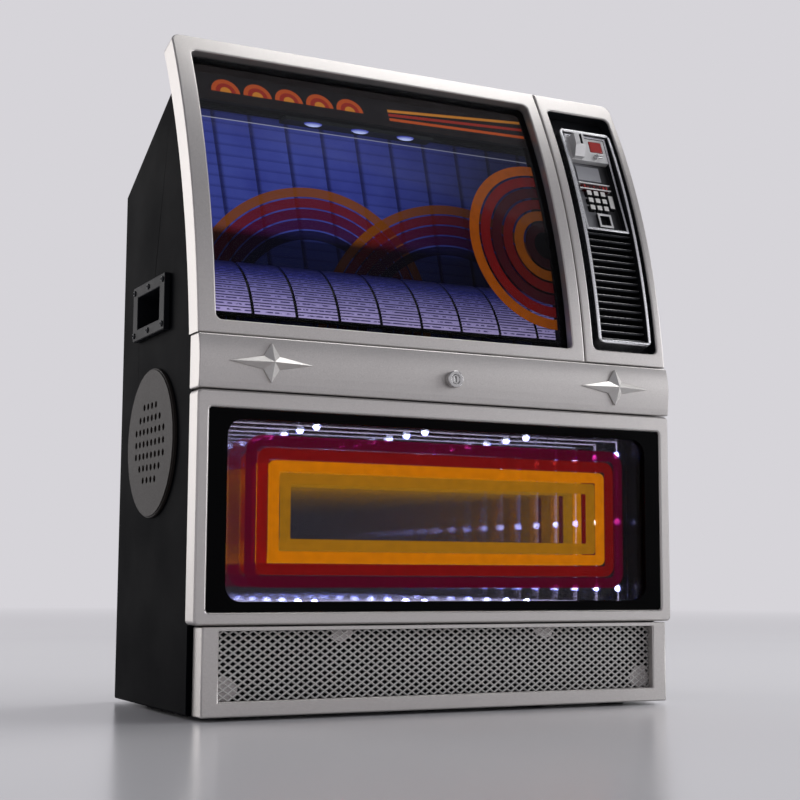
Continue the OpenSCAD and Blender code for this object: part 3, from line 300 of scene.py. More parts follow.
# %% Build the studio
FLOOR_HALF = 4.0
SWEEP_START = 600.0
SWEEP_END = 1600.0
BACKDROP = tint("D6D4D9")
OVERHEAD = tint("88888E")
AMBIENT = tint("84848A")
DARK_FROM = 0.38
DARK_FULL = 0.62
LAMP_TARGET = Vector((0, 0, 0.11))
LAMPS = [
    ("rim_lamp", (-0.62, 0.72, 0.32), 0.6, 2.5, (1.0, 0.98, 0.96)),
    ("fill_lamp", (1.1, -0.55, 0.35), 0.6, 6.0, (0.95, 0.97, 1.0)),
    ("key_lamp", (0.46, 0.1, 1.05), 0.55, 4.6, (1.0, 1.0, 1.0)),
]


def soft_lamp(name, place, size, power, colour):
    """A square lamp of some size and power that looks at the object's middle."""
    lamp = bpy.data.lights.new(name, "AREA")
    lamp.size = size
    lamp.energy = power
    lamp.color = colour
    holder = bpy.data.objects.new(name, lamp)
    scene.collection.objects.link(holder)
    holder.location = place
    holder.rotation_euler = (LAMP_TARGET - Vector(place)).to_track_quat("-Z", "Y").to_euler()


def floor_finish(start):
    """Satin floor near the part, turning into the backdrop's own colour further out."""
    place = object_place(start)
    colour = noise(place, 3.0).mix(tint("DDDCDE"), tint("D6D5D8"))
    x, y, z = axes(place)
    satin = surface(start, {"Base Color": colour, "Roughness": 0.22})
    sweep = start.node("ShaderNodeEmission", {}, {"Color": BACKDROP})
    return blend(span(x, y).spread(SWEEP_START, SWEEP_END), satin, sweep)


def build_world():
    """The background, with one colour for what is seen and another for the light that it sheds."""
    world = bpy.data.worlds.new("studio")
    world.use_nodes = True
    world.node_tree.nodes.clear()
    start = Wire(world.node_tree)
    seen = start.node("ShaderNodeLightPath", output="Is Camera Ray")
    mirrored = start.node("ShaderNodeLightPath", output="Is Glossy Ray")
    passed = start.node("ShaderNodeLightPath", output="Is Transmission Ray")
    direct = start.math("MINIMUM", seen + mirrored + passed, 1.0)
    heading = start.node("ShaderNodeTexCoord", output="Generated")
    rise = start.node("ShaderNodeSeparateXYZ", {}, {"Vector": heading}, output=2)
    studio = rise.spread(DARK_FROM, DARK_FULL).mix(BACKDROP, OVERHEAD)
    sky = start.node("ShaderNodeBackground", {}, {"Color": direct.mix(AMBIENT, studio), "Strength": 1.0})
    start.node("ShaderNodeOutputWorld", {}, {"Surface": sky})
    scene.world = world


floor_mesh = bpy.data.meshes.new("floor")
floor_mesh.from_pydata([(x * FLOOR_HALF, y * FLOOR_HALF, 0) for x, y in ((-1, -1), (1, -1), (1, 1), (-1, 1))],
                       [], [(0, 1, 2, 3)])
floor = bpy.data.objects.new("floor", floor_mesh)
scene.collection.objects.link(floor)
floor_mesh.materials.append(finish("studio_floor", floor_finish))
build_world()
for lamp in LAMPS:
    soft_lamp(*lamp)
scene.view_settings.view_transform = "Standard"
scene.cycles.max_bounces = 24
scene.cycles.glossy_bounces = 16
scene.cycles.transparent_max_bounces = 24
print("lamps:", len(bpy.data.lights))

# %% [markdown]
# ## Metals
# The front is satin silver paint with fine metal flakes: a metal shader whose roughness and colour vary from
# flake to flake. Chrome, steel and the screws are smoother and carry faint polishing marks, which are noise
# stretched along one direction. Each maker below returns a drawing function, so that similar finishes differ
# only by their numbers.

# %% Metal finishes


def flaked(colour, shine, flake=7000.0, sparkle=0.16, metal=0.75):
    """Satin metallic paint: flakes that differ a little in colour and roughness."""
    def draw(start):
        place = object_place(start)
        fleck = noise(place, flake, 1.0)
        cloud = noise(place, 35.0)
        dark = tint(colour, 1.0 - sparkle)
        light = tint(colour, 1.0 + sparkle)
        rough = fleck.spread(0.3, 0.7, shine - 0.05, shine + 0.05) + cloud * 0.06
        return surface(start, {
            "Base Color": fleck.spread(0.3, 0.7).mix(dark, light), "Metallic": metal, "Roughness": rough,
            "Normal": relief(fleck, 0.12, 0.00004)})
    return draw


def polished(colour, shine, grain=(1.0, 1.0, 14.0), scale=900.0):
    """Plated or polished metal with fine marks along one direction."""
    def draw(start):
        place = object_place(start)
        marks = noise(place, scale, 3.0, grain)
        haze = noise(place, 120.0)
        rough = marks.spread(0.3, 0.7, shine * 0.7, shine * 1.4) + haze * 0.04
        return surface(start, {
            "Base Color": marks.mix(tint(colour, 0.92), tint(colour)), "Metallic": 1.0, "Roughness": rough,
            "Normal": relief(marks, 0.04, 0.00003)})
    return draw


def mirror(colour):
    """A silvered mirror with a faint smear."""
    def draw(start):
        smear = noise(object_place(start), 60.0, 4.0)
        return surface(start, {
            "Base Color": smear.mix(tint(colour, 0.96), tint(colour)), "Metallic": 1.0,
            "Roughness": smear.spread(0.4, 0.8, 0.01, 0.03)})
    return draw


metals = {
    "silver_paint": flaked("BEBAB7", 0.34),
    "mesh_silver": flaked("E2DFDC", 0.34, sparkle=0.1, metal=0.45),
    "coin_silver": flaked("DAD9D8", 0.3, sparkle=0.06, metal=0.5),
    "ornament_chrome": flaked("D4D1CD", 0.34, sparkle=0.08, metal=0.7),
    "bezel_chrome": polished("E2E2E4", 0.28, grain=(9.0, 9.0, 0.6)),
    "lock_steel": polished("C0BFBE", 0.18),
    "dark_screws": polished("2C2D30", 0.35),
    "socket_steel": polished("AEB0B5", 0.25),
    "louvre_grey": polished("2A2B2E", 0.45),
    "mirror_silver": mirror("E4E6EC"),
}
print("metals:", len(metals))

# %% [markdown]
# ## Plastics, rubber and card
# Moulded plastic is never one flat colour: its gloss wanders, and it carries a fine grain from the mould.
# One maker covers all of these, from the near-black satin cabinet to the paper of the cones. Only the side
# grilles differ: their marks run round the middle, as on a turned disc.

# %% Moulded finishes
GRILLE_Y = 45.8
GRILLE_Z = 82.2


def moulded(colour, shine, grain=2600.0, depth=0.1, cloud=0.12, coat=0.0, gloss=0.5):
    """Plastic, paint or paper with a fine grain and a wandering gloss."""
    def draw(start):
        place = object_place(start)
        grit = noise(place, grain, 2.0)
        drift = noise(place, 45.0, 3.0)
        base = drift.spread(0.3, 0.7).mix(tint(colour, 1.0 - cloud), tint(colour, 1.0 + cloud))
        rough = drift.spread(0.3, 0.7, shine - 0.05, shine + 0.05) + grit * 0.04
        return surface(start, {
            "Base Color": base, "Roughness": rough, "Coat Weight": coat, "Specular IOR Level": gloss,
            "Normal": relief(grit, depth)})
    return draw


def brushed_disc(start):
    """Dark bronze grille: turned marks run round the middle of the disc."""
    place = object_place(start)
    x, y, z = axes(place)
    radius = span(y - GRILLE_Y, z - GRILLE_Z)
    rings = start.node("ShaderNodeTexNoise", {"noise_dimensions": "1D"},
                       {"W": radius, "Scale": 9.0, "Detail": 3.0})
    grit = noise(place, 2200.0)
    colour = (rings * 0.7 + grit * 0.3).mix(tint("1F1C1B"), tint("3A3532"))
    return surface(start, {
        "Base Color": colour, "Metallic": 0.2, "Specular IOR Level": 0.08,
        "Roughness": grit.spread(0.3, 0.7, 0.42, 0.54),
        "Normal": relief(rings, 0.06)})


plastics = {
    "black_cabinet": moulded("06070A", 0.5, depth=0.08, gloss=0.008),
    "black_plastic": moulded("09090B", 0.45, depth=0.05, gloss=0.07),
    "base_black": moulded("111114", 0.5),
    "foot_rubber": moulded("0E0E0F", 0.75, depth=0.2),
    "mask_black": moulded("040405", 0.2, depth=0.02, gloss=0.03),
    "charcoal": moulded("17181B", 0.3, depth=0.03, gloss=0.25),
    "button_red": moulded("A8221C", 0.22, depth=0.02, coat=0.4),
    "key_white": moulded("D6D4D0", 0.34, depth=0.03, cloud=0.04),
    "handle_black": moulded("15161A", 0.4, depth=0.1, gloss=0.05),
    "driver_dark": moulded("2A2B2F", 0.45),
    "cone_paper": moulded("1A1A1D", 0.7, grain=1500.0, depth=0.3),
    "board_green": moulded("080F0C", 0.45, gloss=0.15),
    "battery_wrap": moulded("2C4F8F", 0.35),
    "grille_bronze": brushed_disc,
}
print("plastics:", len(plastics))

# %% [markdown]
# ## Glass, mirrors and lamps
# The window glass and the tunnel's panes are thin sheets, so they hardly bend the view. A mix of a
# see-through and a glossy shader, weighted by Fresnel, shows that without the noise of true refraction, and
# it lets the studio's light reach the inside. The tunnel's panes carry a mirror film on the sides that face
# its lamps: a face with the film mirrors a share of the light that falls on it from its open side, and lets
# through what comes from inside the pane. So the print and the lamps repeat again and again into the depth.

# %% Clear finishes
CEILING_Z = 188.3


def pane(colour, gloss_share, index=1.45):
    """A thin coated pane: tinted where it is looked through, a little glossy at a slant."""
    def draw(start):
        place = object_place(start)
        smear = noise(place, 90.0, 3.0)
        through = see_through(start, colour)
        gloss = start.node("ShaderNodeBsdfGlossy", {}, {"Color": (1, 1, 1, 1), "Roughness": 0.02})
        slant = start.node("ShaderNodeFresnel", {}, {"IOR": index})
        share = slant * gloss_share * (0.8 + smear * 0.2)
        return blend(share, through, gloss)
    return draw


def film(share, colour):
    """A mirror film on a pane's face: it mirrors from its open side only."""
    def draw(start):
        smear = noise(object_place(start), 70.0, 3.0)
        inside = start.node("ShaderNodeNewGeometry", output="Backfacing")
        through = see_through(start, colour)
        gloss = start.node("ShaderNodeBsdfGlossy", {}, {"Color": tint("F0F0F4"), "Roughness": 0.01})
        mirrored = smear.spread(0.2, 0.8, share - 0.02, share + 0.02) * (1.0 - inside)
        return blend(mirrored, through, gloss)
    return draw


def lit_acrylic(start):
    """The clear ring that spreads the lamps' light: its edges glow faintly."""
    place = object_place(start)
    streak = noise(place, 160.0, 3.0, (1.0, 8.0, 1.0))
    through = see_through(start, "D9DAE6")
    glow = surface(start, {
        "Base Color": tint("34323C"), "Roughness": 0.08, "Emission Strength": 0.06,
        "Emission Color": streak.mix(tint("B9A8C8"), tint("E6E4F4"))})
    return blend(streak.spread(0.3, 0.7, 0.25, 0.5), through, glow)


def ceiling_glow(start):
    """A soft bluish lens, brightest at its lowest point."""
    place = object_place(start)
    x, y, z = axes(place)
    core = noise(place, 900.0)
    low = z.spread(CEILING_Z - 0.9, CEILING_Z - 0.2, 1.0, 0.0) * (0.85 + core * 0.3)
    return surface(start, {
        "Base Color": tint("30345A"), "Roughness": 0.3, "Emission Strength": 1.0,
        "Emission Color": low.mix(tint("3038A0"), tint("C4D0FF"))})


def lamp_glow(core_colour, rim_colour, strength):
    """A lamp that is brightest in the middle and falls off to its rim."""
    def draw(start):
        grain = noise(object_place(start), 900.0)
        rim = start.node("ShaderNodeLayerWeight", {}, {"Blend": 0.5}, output="Facing")
        fade = (rim * (0.9 + grain * 0.2)).spread(0.1, 0.75)
        return surface(start, {
            "Base Color": tint("F4F4F8"), "Roughness": 0.3, "Emission Strength": strength,
            "Emission Color": fade.mix(tint(core_colour), tint(rim_colour))})
    return draw


clears = {
    "clear_glass": pane("F2F3F5", 0.07),
    "smoked_glass": pane("C6C4C6", 0.15),
    "tunnel_film": film(0.82, "C6C4C6"),
    "half_mirror": film(0.7, "FFFFFF"),
    "clear_acrylic": lit_acrylic,
    "lamp_white": ceiling_glow,
    "tunnel_lamp": lamp_glow("E8F0FF", "2A3CB0", 60.0),
    "guide_line": lamp_glow("E6E0FA", "C8C0F0", 4.0),
}
print("clear finishes:", len(clears))

# %% [markdown]
# ## Prints
# The title cards, the panel behind them and the header strip are printed card, lit from above by three bluish
# lamps; that light is painted into their colour as a glow, with painted shade where it falls off. Drawing
# each row as geometry would cost many faces for something with no thickness, so the rows and bands are drawn
# in the shader from the place on the piece. The motifs are plain ones: rows, a grid, arches and half discs.

# %% Printed finishes
DRUM_Y = 40.74
DRUM_Z = 111.43
CARD_ROW_DEGREES = 4.0


def stripes(value, pitch, width, soft):
    """One on thin lines that repeat, from a value in the same unit as the pitch."""
    share = value.math("FRACT", value / pitch)
    return share.below(width / pitch, soft / pitch)


def title_rows(start):
    """Rows of cards on the drum, with a printed line on each; painted lamp light, brighter at the front and
    left.
    """
    place = object_place(start)
    x, y, z = axes(place)
    angle = start.math("ARCTAN2", z - DRUM_Z, DRUM_Y - y) * (180.0 / math.pi)
    gap = stripes(angle, CARD_ROW_DEGREES, 0.7, 0.2)
    words = stripes(angle + 2.0, CARD_ROW_DEGREES, 0.9, 0.2) * noise(place, 700.0, 2.0).spread(0.42, 0.5)
    fibre = noise(place, 500.0, 3.0)
    paper = fibre.mix(tint("C9C2E6"), tint("E2DCF4"))
    print_colour = (words * 0.9).mix(paper, tint("221E50"))
    colour = gap.mix(print_colour, tint("191430"))
    # Painted lamp light: strongest on the near rows and on the left, fading to the far rows and the right.
    near = angle.spread(18.0, 66.0, 1.0, 0.08)
    left = x.spread(-80.0, 50.0, 1.0, 0.6)
    # The painted lamp light is lavender on the near rows and deep blue on the far ones.
    blue = angle.spread(16.0, 52.0).mix(tint("DCD2EC"), tint("5C64C4"))
    lit = start.node("ShaderNodeMix", {"data_type": "RGBA", "blend_type": "MULTIPLY"},
                     {0: 1.0, 6: colour, 7: blue}, output=2)
    glow = (near * left).mix(tint("000000"), lit)
    # Painted shade: the base colour stays near black; the colour comes from the painted glow.
    dim = fibre.spread(0.0, 1.0, 0.86, 0.9).mix(lit, tint("05050A"))
    return surface(start, {
        "Base Color": dim, "Roughness": fibre.spread(0.3, 0.7, 0.4, 0.55), "Specular IOR Level": 0.04,
        "Emission Color": glow, "Emission Strength": 0.9, "Normal": relief(fibre, 0.05)})


# The painted glow goes out at PANEL_FOOT and is dimmer above PANEL_LINE, where a painted highlight runs.
PANEL_FOOT = 149.5
PANEL_LINE = 187.0
PANEL_SLANT = 0.17
PANEL_SHIFT = 57.6
PANEL_COLUMN = 12.7
PANEL_ROW = 3.5
ARCHES = [(-34.0, 124.0, 44.0), (18.0, 118.0, 50.0)]
ARCH_BAND = 3.6
ARCH_COLOURS = ["140E30", "3C0A34", "560A22", "701812", "8A4A0C"]


def arch_bands(start, x, z, centre, radius):
    """How much of an arch's bands covers a place, and the colour of the band there."""
    reach = span(x - centre[0], z - centre[1])
    inner = radius - ARCH_BAND * len(ARCH_COLOURS)
    share = reach.spread(inner, radius)
    stops = [(i / len(ARCH_COLOURS), tint(code)) for i, code in enumerate(ARCH_COLOURS)]
    made = start.node("ShaderNodeValToRGB", {"stops": stops}, {"Fac": share})
    made.socket.node.color_ramp.interpolation = "CONSTANT"
    line = stripes(reach - inner, ARCH_BAND, 0.5, 0.12)
    inside = reach.below(radius, 0.15) * (1.0 - reach.below(inner, 0.15)) * (1.0 - line)
    return inside, made


def lit_grid(start):
    """Blue grid panel with plain arches in painted lamp light, with painted shade towards the right end."""
    place = object_place(start)
    x, y, z = axes(place)
    slide = x + (z - PANEL_LINE) * PANEL_SLANT
    columns = stripes(slide + PANEL_SHIFT, PANEL_COLUMN, 1.4, 0.8)
    rows = stripes(z, PANEL_ROW, 0.7, 0.5)
    cloud = noise(place, 60.0, 3.0)
    blue = cloud.spread(0.3, 0.7).mix(tint("39429A"), tint("4A56AE"))
    colour = (rows * 0.35).mix(blue, tint("1C2060"))
    colour = (columns * 0.75).mix(colour, tint("12123A"))
    for centre_x, centre_z, radius in ARCHES:
        inside, band = arch_bands(start, x, z, (centre_x, centre_z), radius)
        colour = (inside * 0.92).mix(colour, band)
    # Painted shade: the glow fades towards the right end, goes out at the foot and is dimmer above the top
    # line.
    dark = x.spread(-20.0, 34.0, 1.0, 0.12)
    foot = z.spread(PANEL_FOOT, PANEL_FOOT + 3.0)
    below = z.below(PANEL_LINE, 0.08)
    glow = (dark * foot * (0.4 + below * 0.6)).mix(tint("000000"), colour)
    # Painted highlight: a thin pale line just above the top line, brighter on the left.
    edge = (1.0 - below) * z.below(PANEL_LINE + 0.3, 0.08) * x.spread(-80.0, 50.0, 0.75, 0.35)
    glow = edge.mix(glow, tint("D8DAF0"))
    # Painted shade: the base colour stays near black; the colour comes from the painted glow.
    dim = cloud.spread(0.0, 1.0, 0.78, 0.82).mix(colour, tint("040408"))
    return surface(start, {
        "Base Color": dim, "Roughness": 0.3, "Specular IOR Level": 0.04, "Emission Color": glow,
        "Emission Strength": 0.6})


HEADER_FOOT = 195.0
HEADER_ROW = (-72.0, -17.0)
HEADER_DISC = 11.0
HEADER_DISCS = [(4.9, "C8551C"), (3.4, "A32A1A"), (1.9, "D98A2B")]
STREAK_START = -8.0
STREAKS = [(194.4, 0.02, "C8551C"), (196.4, 0.045, "A32A1A"), (198.2, 0.07, "D98A2B")]


def header_print(start):
    """Charcoal strip, a row of half discs at the left, tapering stripes at the right; painted lamp light."""
    place = object_place(start)
    x, y, z = axes(place)
    cloud = noise(place, 80.0, 3.0)
    card = cloud.spread(0.3, 0.7).mix(tint("120D0D"), tint("1A1413"))
    across = (start.math("FRACT", (x - HEADER_ROW[0]) / HEADER_DISC) - 0.5) * HEADER_DISC
    reach = span(across, z - HEADER_FOOT)
    above = 1.0 - z.below(HEADER_FOOT, 0.1)
    row = x.below(HEADER_ROW[1], 0.05) * (1.0 - x.below(HEADER_ROW[0], 0.05))
    colour = card
    for radius, code in HEADER_DISCS:
        disc = reach.below(radius, 0.12) * above * row
        colour = disc.mix(colour, tint(code))
    for foot, slope, code in STREAKS:
        away = start.math("ABSOLUTE", z - (x * slope + foot))
        band = away.below(0.55, 0.1) * (1.0 - x.below(STREAK_START, 0.1))
        colour = band.mix(colour, tint(code))
    # Painted lamp light: the print glows in its own colours.
    return surface(start, {
        "Base Color": colour, "Roughness": cloud.spread(0.3, 0.7, 0.22, 0.3), "Emission Color": colour,
        "Emission Strength": 0.3, "Specular IOR Level": 0.02})


DISPLAY_FOOT = 177.2
DISPLAY_TOP = 178.4


def red_window(start):
    """The price display: a red lens over dim, plain bars."""
    place = object_place(start)
    x, y, z = axes(place)
    cells = stripes(x, 1.3, 0.6, 0.12)
    glass = noise(place, 500.0)
    row = z.below(DISPLAY_TOP, 0.1) * (1.0 - z.below(DISPLAY_FOOT, 0.1))
    lit = cells * glass.spread(0.4, 0.6) * row
    colour = lit.mix(tint("260606"), tint("B8302A"))
    return surface(start, {
        "Base Color": colour, "Roughness": 0.15, "Emission Color": colour, "Emission Strength": 0.25})


def ink(code, glow=0.3, cover=0.9, clear=None):
    """Printed ink on clear glass, its backlight painted in as a glow; some light gets through in a clearer
    colour.
    """
    def draw(start):
        layer = noise(object_place(start), 400.0, 3.0)
        colour = layer.spread(0.3, 0.7).mix(tint(code, 0.9), tint(code, 1.1))
        through = see_through(start, clear or code)
        # The emission is the painted backlight of the lamps behind the ink.
        solid = surface(start, {
            "Base Color": colour, "Roughness": 0.3, "Specular IOR Level": 0.05, "Emission Color": colour,
            "Emission Strength": glow})
        return blend(layer.spread(0.2, 0.8, cover - 0.03, cover + 0.03), through, solid)
    return draw


prints = {
    "title_card": title_rows,
    "lit_panel": lit_grid,
    "header_card": header_print,
    "display_red": red_window,
    "printed_stripe": ink("C87D05", 0.5),
}
finishes = {}
for group in (metals, plastics, clears, prints):
    for name, draw in group.items():
        finishes[name] = finish(name, draw)
print("finishes:", len(finishes))

# %% [markdown]
# ## Finishes on the solids
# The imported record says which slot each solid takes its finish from. A loop puts the finish of that name on
# the solid's own material slots, so that no solid is left in its plain modelling colour.

# %% Put the finishes on
slot_of = {}
for part in frame["record"]["subparts"]:
    slot_of[part["node"]] = part["material_slot"]
for name, solid in nodes.items():
    for slot in solid.material_slots:
        slot.material = finishes[slot_of[name]]
print("solids finished:", len(slot_of))

# %% [markdown]
# ## Rounded edges
# A real edge is never a knife: it has a small radius that catches a thin line of light. The solids have sharp
# edges, so each visible one gets a copy whose loose triangles are merged, whose edges are bevelled, and whose
# normals are weighted by the faces' areas, so that flat faces stay flat. The copy stands for the solid.

# %% Soften the solids
SHARP = math.radians(30)
FLAT = math.radians(0.05)
SKIN = 0.1
BORE_EDGE = 0.35


def link(name, mesh):
    """A new object in the scene."""
    piece = bpy.data.objects.new(name, mesh)
    scene.collection.objects.link(piece)
    return piece


def settled(piece):
    """Turns a piece's modifiers into plain mesh."""
    bpy.context.view_layer.update()
    made = bpy.data.meshes.new_from_object(piece.evaluated_get(bpy.context.evaluated_depsgraph_get()))
    old = piece.data
    piece.modifiers.clear()
    piece.data = made
    if not old.users:
        bpy.data.meshes.remove(old)
    return piece


def place_piece(piece, body, slot, *stands_for):
    """Lets a finished piece ride on a body and stand for its solids."""
    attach(piece, body)
    if stands_for:
        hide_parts(*stands_for)
    return piece


def mesh_from(name, shape, *coats):
    """A finished shape as a mesh with these finishes, its faces turned outward."""
    bmesh.ops.recalc_face_normals(shape, faces=shape.faces)
    mesh = bpy.data.meshes.new(name)
    shape.to_mesh(mesh)
    shape.free()
    for coat in coats:
        mesh.materials.append(coat)
    return mesh


def merged(node):
    """A copy of a solid's mesh: corners joined, and the triangles of each flat face joined too."""
    mesh = nodes[node].data.copy()
    shape = bmesh.new()
    shape.from_mesh(mesh)
    bmesh.ops.remove_doubles(shape, verts=shape.verts, dist=1e-6)
    bmesh.ops.dissolve_limit(shape, angle_limit=FLAT, verts=shape.verts, edges=shape.edges)
    shape.to_mesh(mesh)
    shape.free()
    return mesh


def mark_edges(mesh, picked):
    """Weighs the sharp edges that a test picks, so that only these are rounded."""
    shape = bmesh.new()
    shape.from_mesh(mesh)
    weight = shape.edges.layers.float.new("bevel_weight_edge")
    for edge in shape.edges:
        if edge.is_manifold and edge.calc_face_angle() > SHARP and picked(edge):
            edge[weight] = 1.0
    shape.to_mesh(mesh)
    shape.free()


def any_edge(edge):
    """The test that picks every edge."""
    return True


def long_edge(edge):
    """Leaves out the rims of small bores, whose edges are short."""
    return edge.calc_length() > BORE_EDGE * MM


def skin_edge(edge):
    """Only edges on the curved front."""
    return all(front_depth(vert.co) < SKIN for vert in edge.verts)


def upper_edge(edge):
    """Only edges under a face that looks up."""
    return any(face.normal.z > 0.6 for face in edge.link_faces)


def softened(node, radius, steps=2, edge_finish=None, picked=any_edge):
    """The solid with its edges rounded to a radius in millimetres; none only smooths its curves."""
    piece = link(node + "_piece", merged(node))
    if edge_finish:
        piece.data.materials.append(edge_finish)
    piece.data.shade_smooth()
    piece.data.set_sharp_from_angle(angle=SHARP)
    if radius:
        mark_edges(piece.data, picked)
        edge = piece.modifiers.new("edge", "BEVEL")
        edge.width = radius * MM
        edge.segments = steps
        edge.limit_method = "WEIGHT"
        edge.use_clamp_overlap = False
        edge.material = len(piece.data.materials) - 1 if edge_finish else -1
    even = piece.modifiers.new("even", "WEIGHTED_NORMAL")
    even.keep_sharp = True
    settled(piece)
    return place_piece(piece, body_of[node], slot_of[node], node)


def paint(piece, coat, chosen):
    """Gives the faces that a test picks a finish of their own."""
    piece.data.materials.append(coat)
    slot = len(piece.data.materials) - 1
    for face in piece.data.polygons:
        if chosen(face.center, face.normal):
            face.material_index = slot


SOFT_EDGES = {
    "plinth_frame": 0.45, "lower_door_frame": 0.6, "centre_band": 0.35, "selector_bezel": 0.3,
    "selector_pan": 0.16, "coin_plate": 0.1, "coin_entry": 0.1, "reject_button": 0.2, "return_lever": 0.1,
    "tall_key": 0.2, "return_cup": 0.08, "star_ornaments": 0.1, "lock_barrel": 0.25, "lock_plug": 0.08,
    "handle_plates": 0.3, "speaker_grilles": 0.15, "left_side_panel": 0.4, "right_side_panel": 0.4,
    "sloped_top_panel": 0.3, "back_cover": 0.3, "power_button": 0.4, "usb_port": 0.08, "feet": 0.3,
}
SMOOTHED = ["window_glass", "window_liner", "header_panel", "selector_backplate", "title_rack", "title_cards",
            "left_cone", "right_cone"]
for number in range(1, 10):
    SOFT_EDGES["key_%d" % number] = 0.2
ROUNDED_ALONG = {"centre_band": long_edge, "selector_bezel": skin_edge}
soft_pieces = {}
for node, radius in SOFT_EDGES.items():
    soft_pieces[node] = softened(node, radius, picked=ROUNDED_ALONG.get(node, any_edge))
for node in SMOOTHED:
    soft_pieces[node] = softened(node, 0)
# The louvre's upper rounded edges take the paler coin silver: a painted highlight line along each slat.
soft_pieces["louvre_grille"] = softened("louvre_grille", 0.24, 2, finishes["coin_silver"], upper_edge)
print("softened:", len(soft_pieces), "faces:", sum(len(p.data.polygons) for p in soft_pieces.values()))

# %% [markdown]
# The two curved frames need more care. Their fronts are facets that follow the curve, and a bevel gets torn
# where a facet ends just beside an edge. So their front skin is pushed in a little, and a cap is swept round
# instead: one rounded section, carried along the outer and the inner outline at the same time.

# %% Cap the curved frames
CAP_DEPTH = 0.8
CAP_ROUND = 0.55
CAP_STEPS = 4
CAP_OVERLAP = 0.03
SILL_Z = 111.9
HEAD_Z = 213.3
CORNER_POINTS = 9
CORNER_LEG = 0.8
SIDE_POINTS = 48
OPENING_ROUND = 2.0
CURVED_FRAMES = {
    "window_frame": ((-84.0, 51.45), (-78.2, 46.95), (116.2, 207.7), (0, 0, 0, 3)),
    "selector_frame": ((51.85, 84.0), (55.3, 81.2), (116.6, 207.1), (0, 0, 3, 0)),
}


def tangent_height(z, touch_z):
    """Height of the front's point at z, in the plane that touches the front at another height."""
    lean = lean_at(touch_z)
    return (z - touch_z) * math.cos(lean) + (front_y(z) - front_y(touch_z)) * math.sin(lean)


def on_arc(x, height, depth, lean):
    """A point at a depth behind the curve, straight in from a height in a leaning plane."""
    far = math.sqrt((CURVE_R - depth) ** 2 - height ** 2)
    y = CURVE_Y + height * math.sin(lean) - far * math.cos(lean)
    z = CURVE_Z + height * math.cos(lean) + far * math.sin(lean)
    return at(x, y, z)


def corner_run(corner, before, after, radius):
    """Points round a corner; a sharp corner gets points on both of its legs."""
    half = CORNER_POINTS // 2
    run = []
    for i in range(CORNER_POINTS):
        share = i / (CORNER_POINTS - 1)
        if radius:
            turn = share * math.pi / 2
            back = before * radius * (1 - math.sin(turn))
            ahead = after * radius * (1 - math.cos(turn))
            run.append(corner - back + ahead)
        else:
            step = (i - half) * CORNER_LEG
            run.append(corner + (before if step < 0 else after) * step)
    return run


def outline(x_range, h_range, radii):
    """A closed outline, anticlockwise from the lower left corner, with a radius for each corner."""
    corners = [Vector((x_range[i], h_range[j])) for i, j in ((0, 0), (1, 0), (1, 1), (0, 1))]
    ways = [Vector(way) for way in ((0, -1), (1, 0), (0, 1), (-1, 0))]
    runs = []
    for i, corner in enumerate(corners):
        runs.append(corner_run(corner, ways[i], ways[(i + 1) % 4], radii[i]))
    points = []
    for i, run in enumerate(runs):
        follow = runs[(i + 1) % 4][0]
        points += run
        for k in range(1, SIDE_POINTS):
            points.append(run[-1].lerp(follow, k / SIDE_POINTS))
    return points


def moved_in(points, distance):
    """The outline moved to its left by a distance."""
    moved = []
    for i, point in enumerate(points):
        ahead = (points[(i + 1) % len(points)] - point).normalized()
        behind = (point - points[i - 1]).normalized()
        side_1, side_2 = Vector((-behind.y, behind.x)), Vector((-ahead.y, ahead.x))
        mitre = (side_1 + side_2).normalized()
        moved.append(point + mitre * distance / mitre.dot(side_1))
    return moved


def cap_section():
    """Steps from the wall over the rounding to the skin: distance from the edge and depth."""
    section = [(0.0, CAP_DEPTH)]
    for i in range(CAP_STEPS + 1):
        turn = i / CAP_STEPS * math.pi / 2
        section.append((CAP_ROUND * (1 - math.cos(turn)), CAP_ROUND * (1 - math.sin(turn))))
    return section


def add_cap(shape, outer, inner, touch_z):
    """Sweeps the rounded section round a frame's two outlines."""
    lean = lean_at(touch_z)
    foot_h = min(point.y for point in outer)
    rows = []
    for points, side, section in ((outer, 1, cap_section()), (inner, -1, cap_section()[::-1])):
        for distance, depth in section:
            row = []
            for start, point in zip(points, moved_in(points, distance * side)):
                if start.y < foot_h + 1e-6:
                    spot = on_arc(point.x, SILL_Z + point.y - foot_h - CURVE_Z, depth, 0.0)
                else:
                    spot = on_arc(point.x, point.y, depth, lean)
                row.append(shape.verts.new(spot))
            rows.append(row)
    count = len(outer)
    for i, row in enumerate(rows):
        above = rows[(i + 1) % len(rows)]
        for k in range(count):
            follow = (k + 1) % count
            shape.faces.new((row[k], row[follow], above[follow], above[k]))


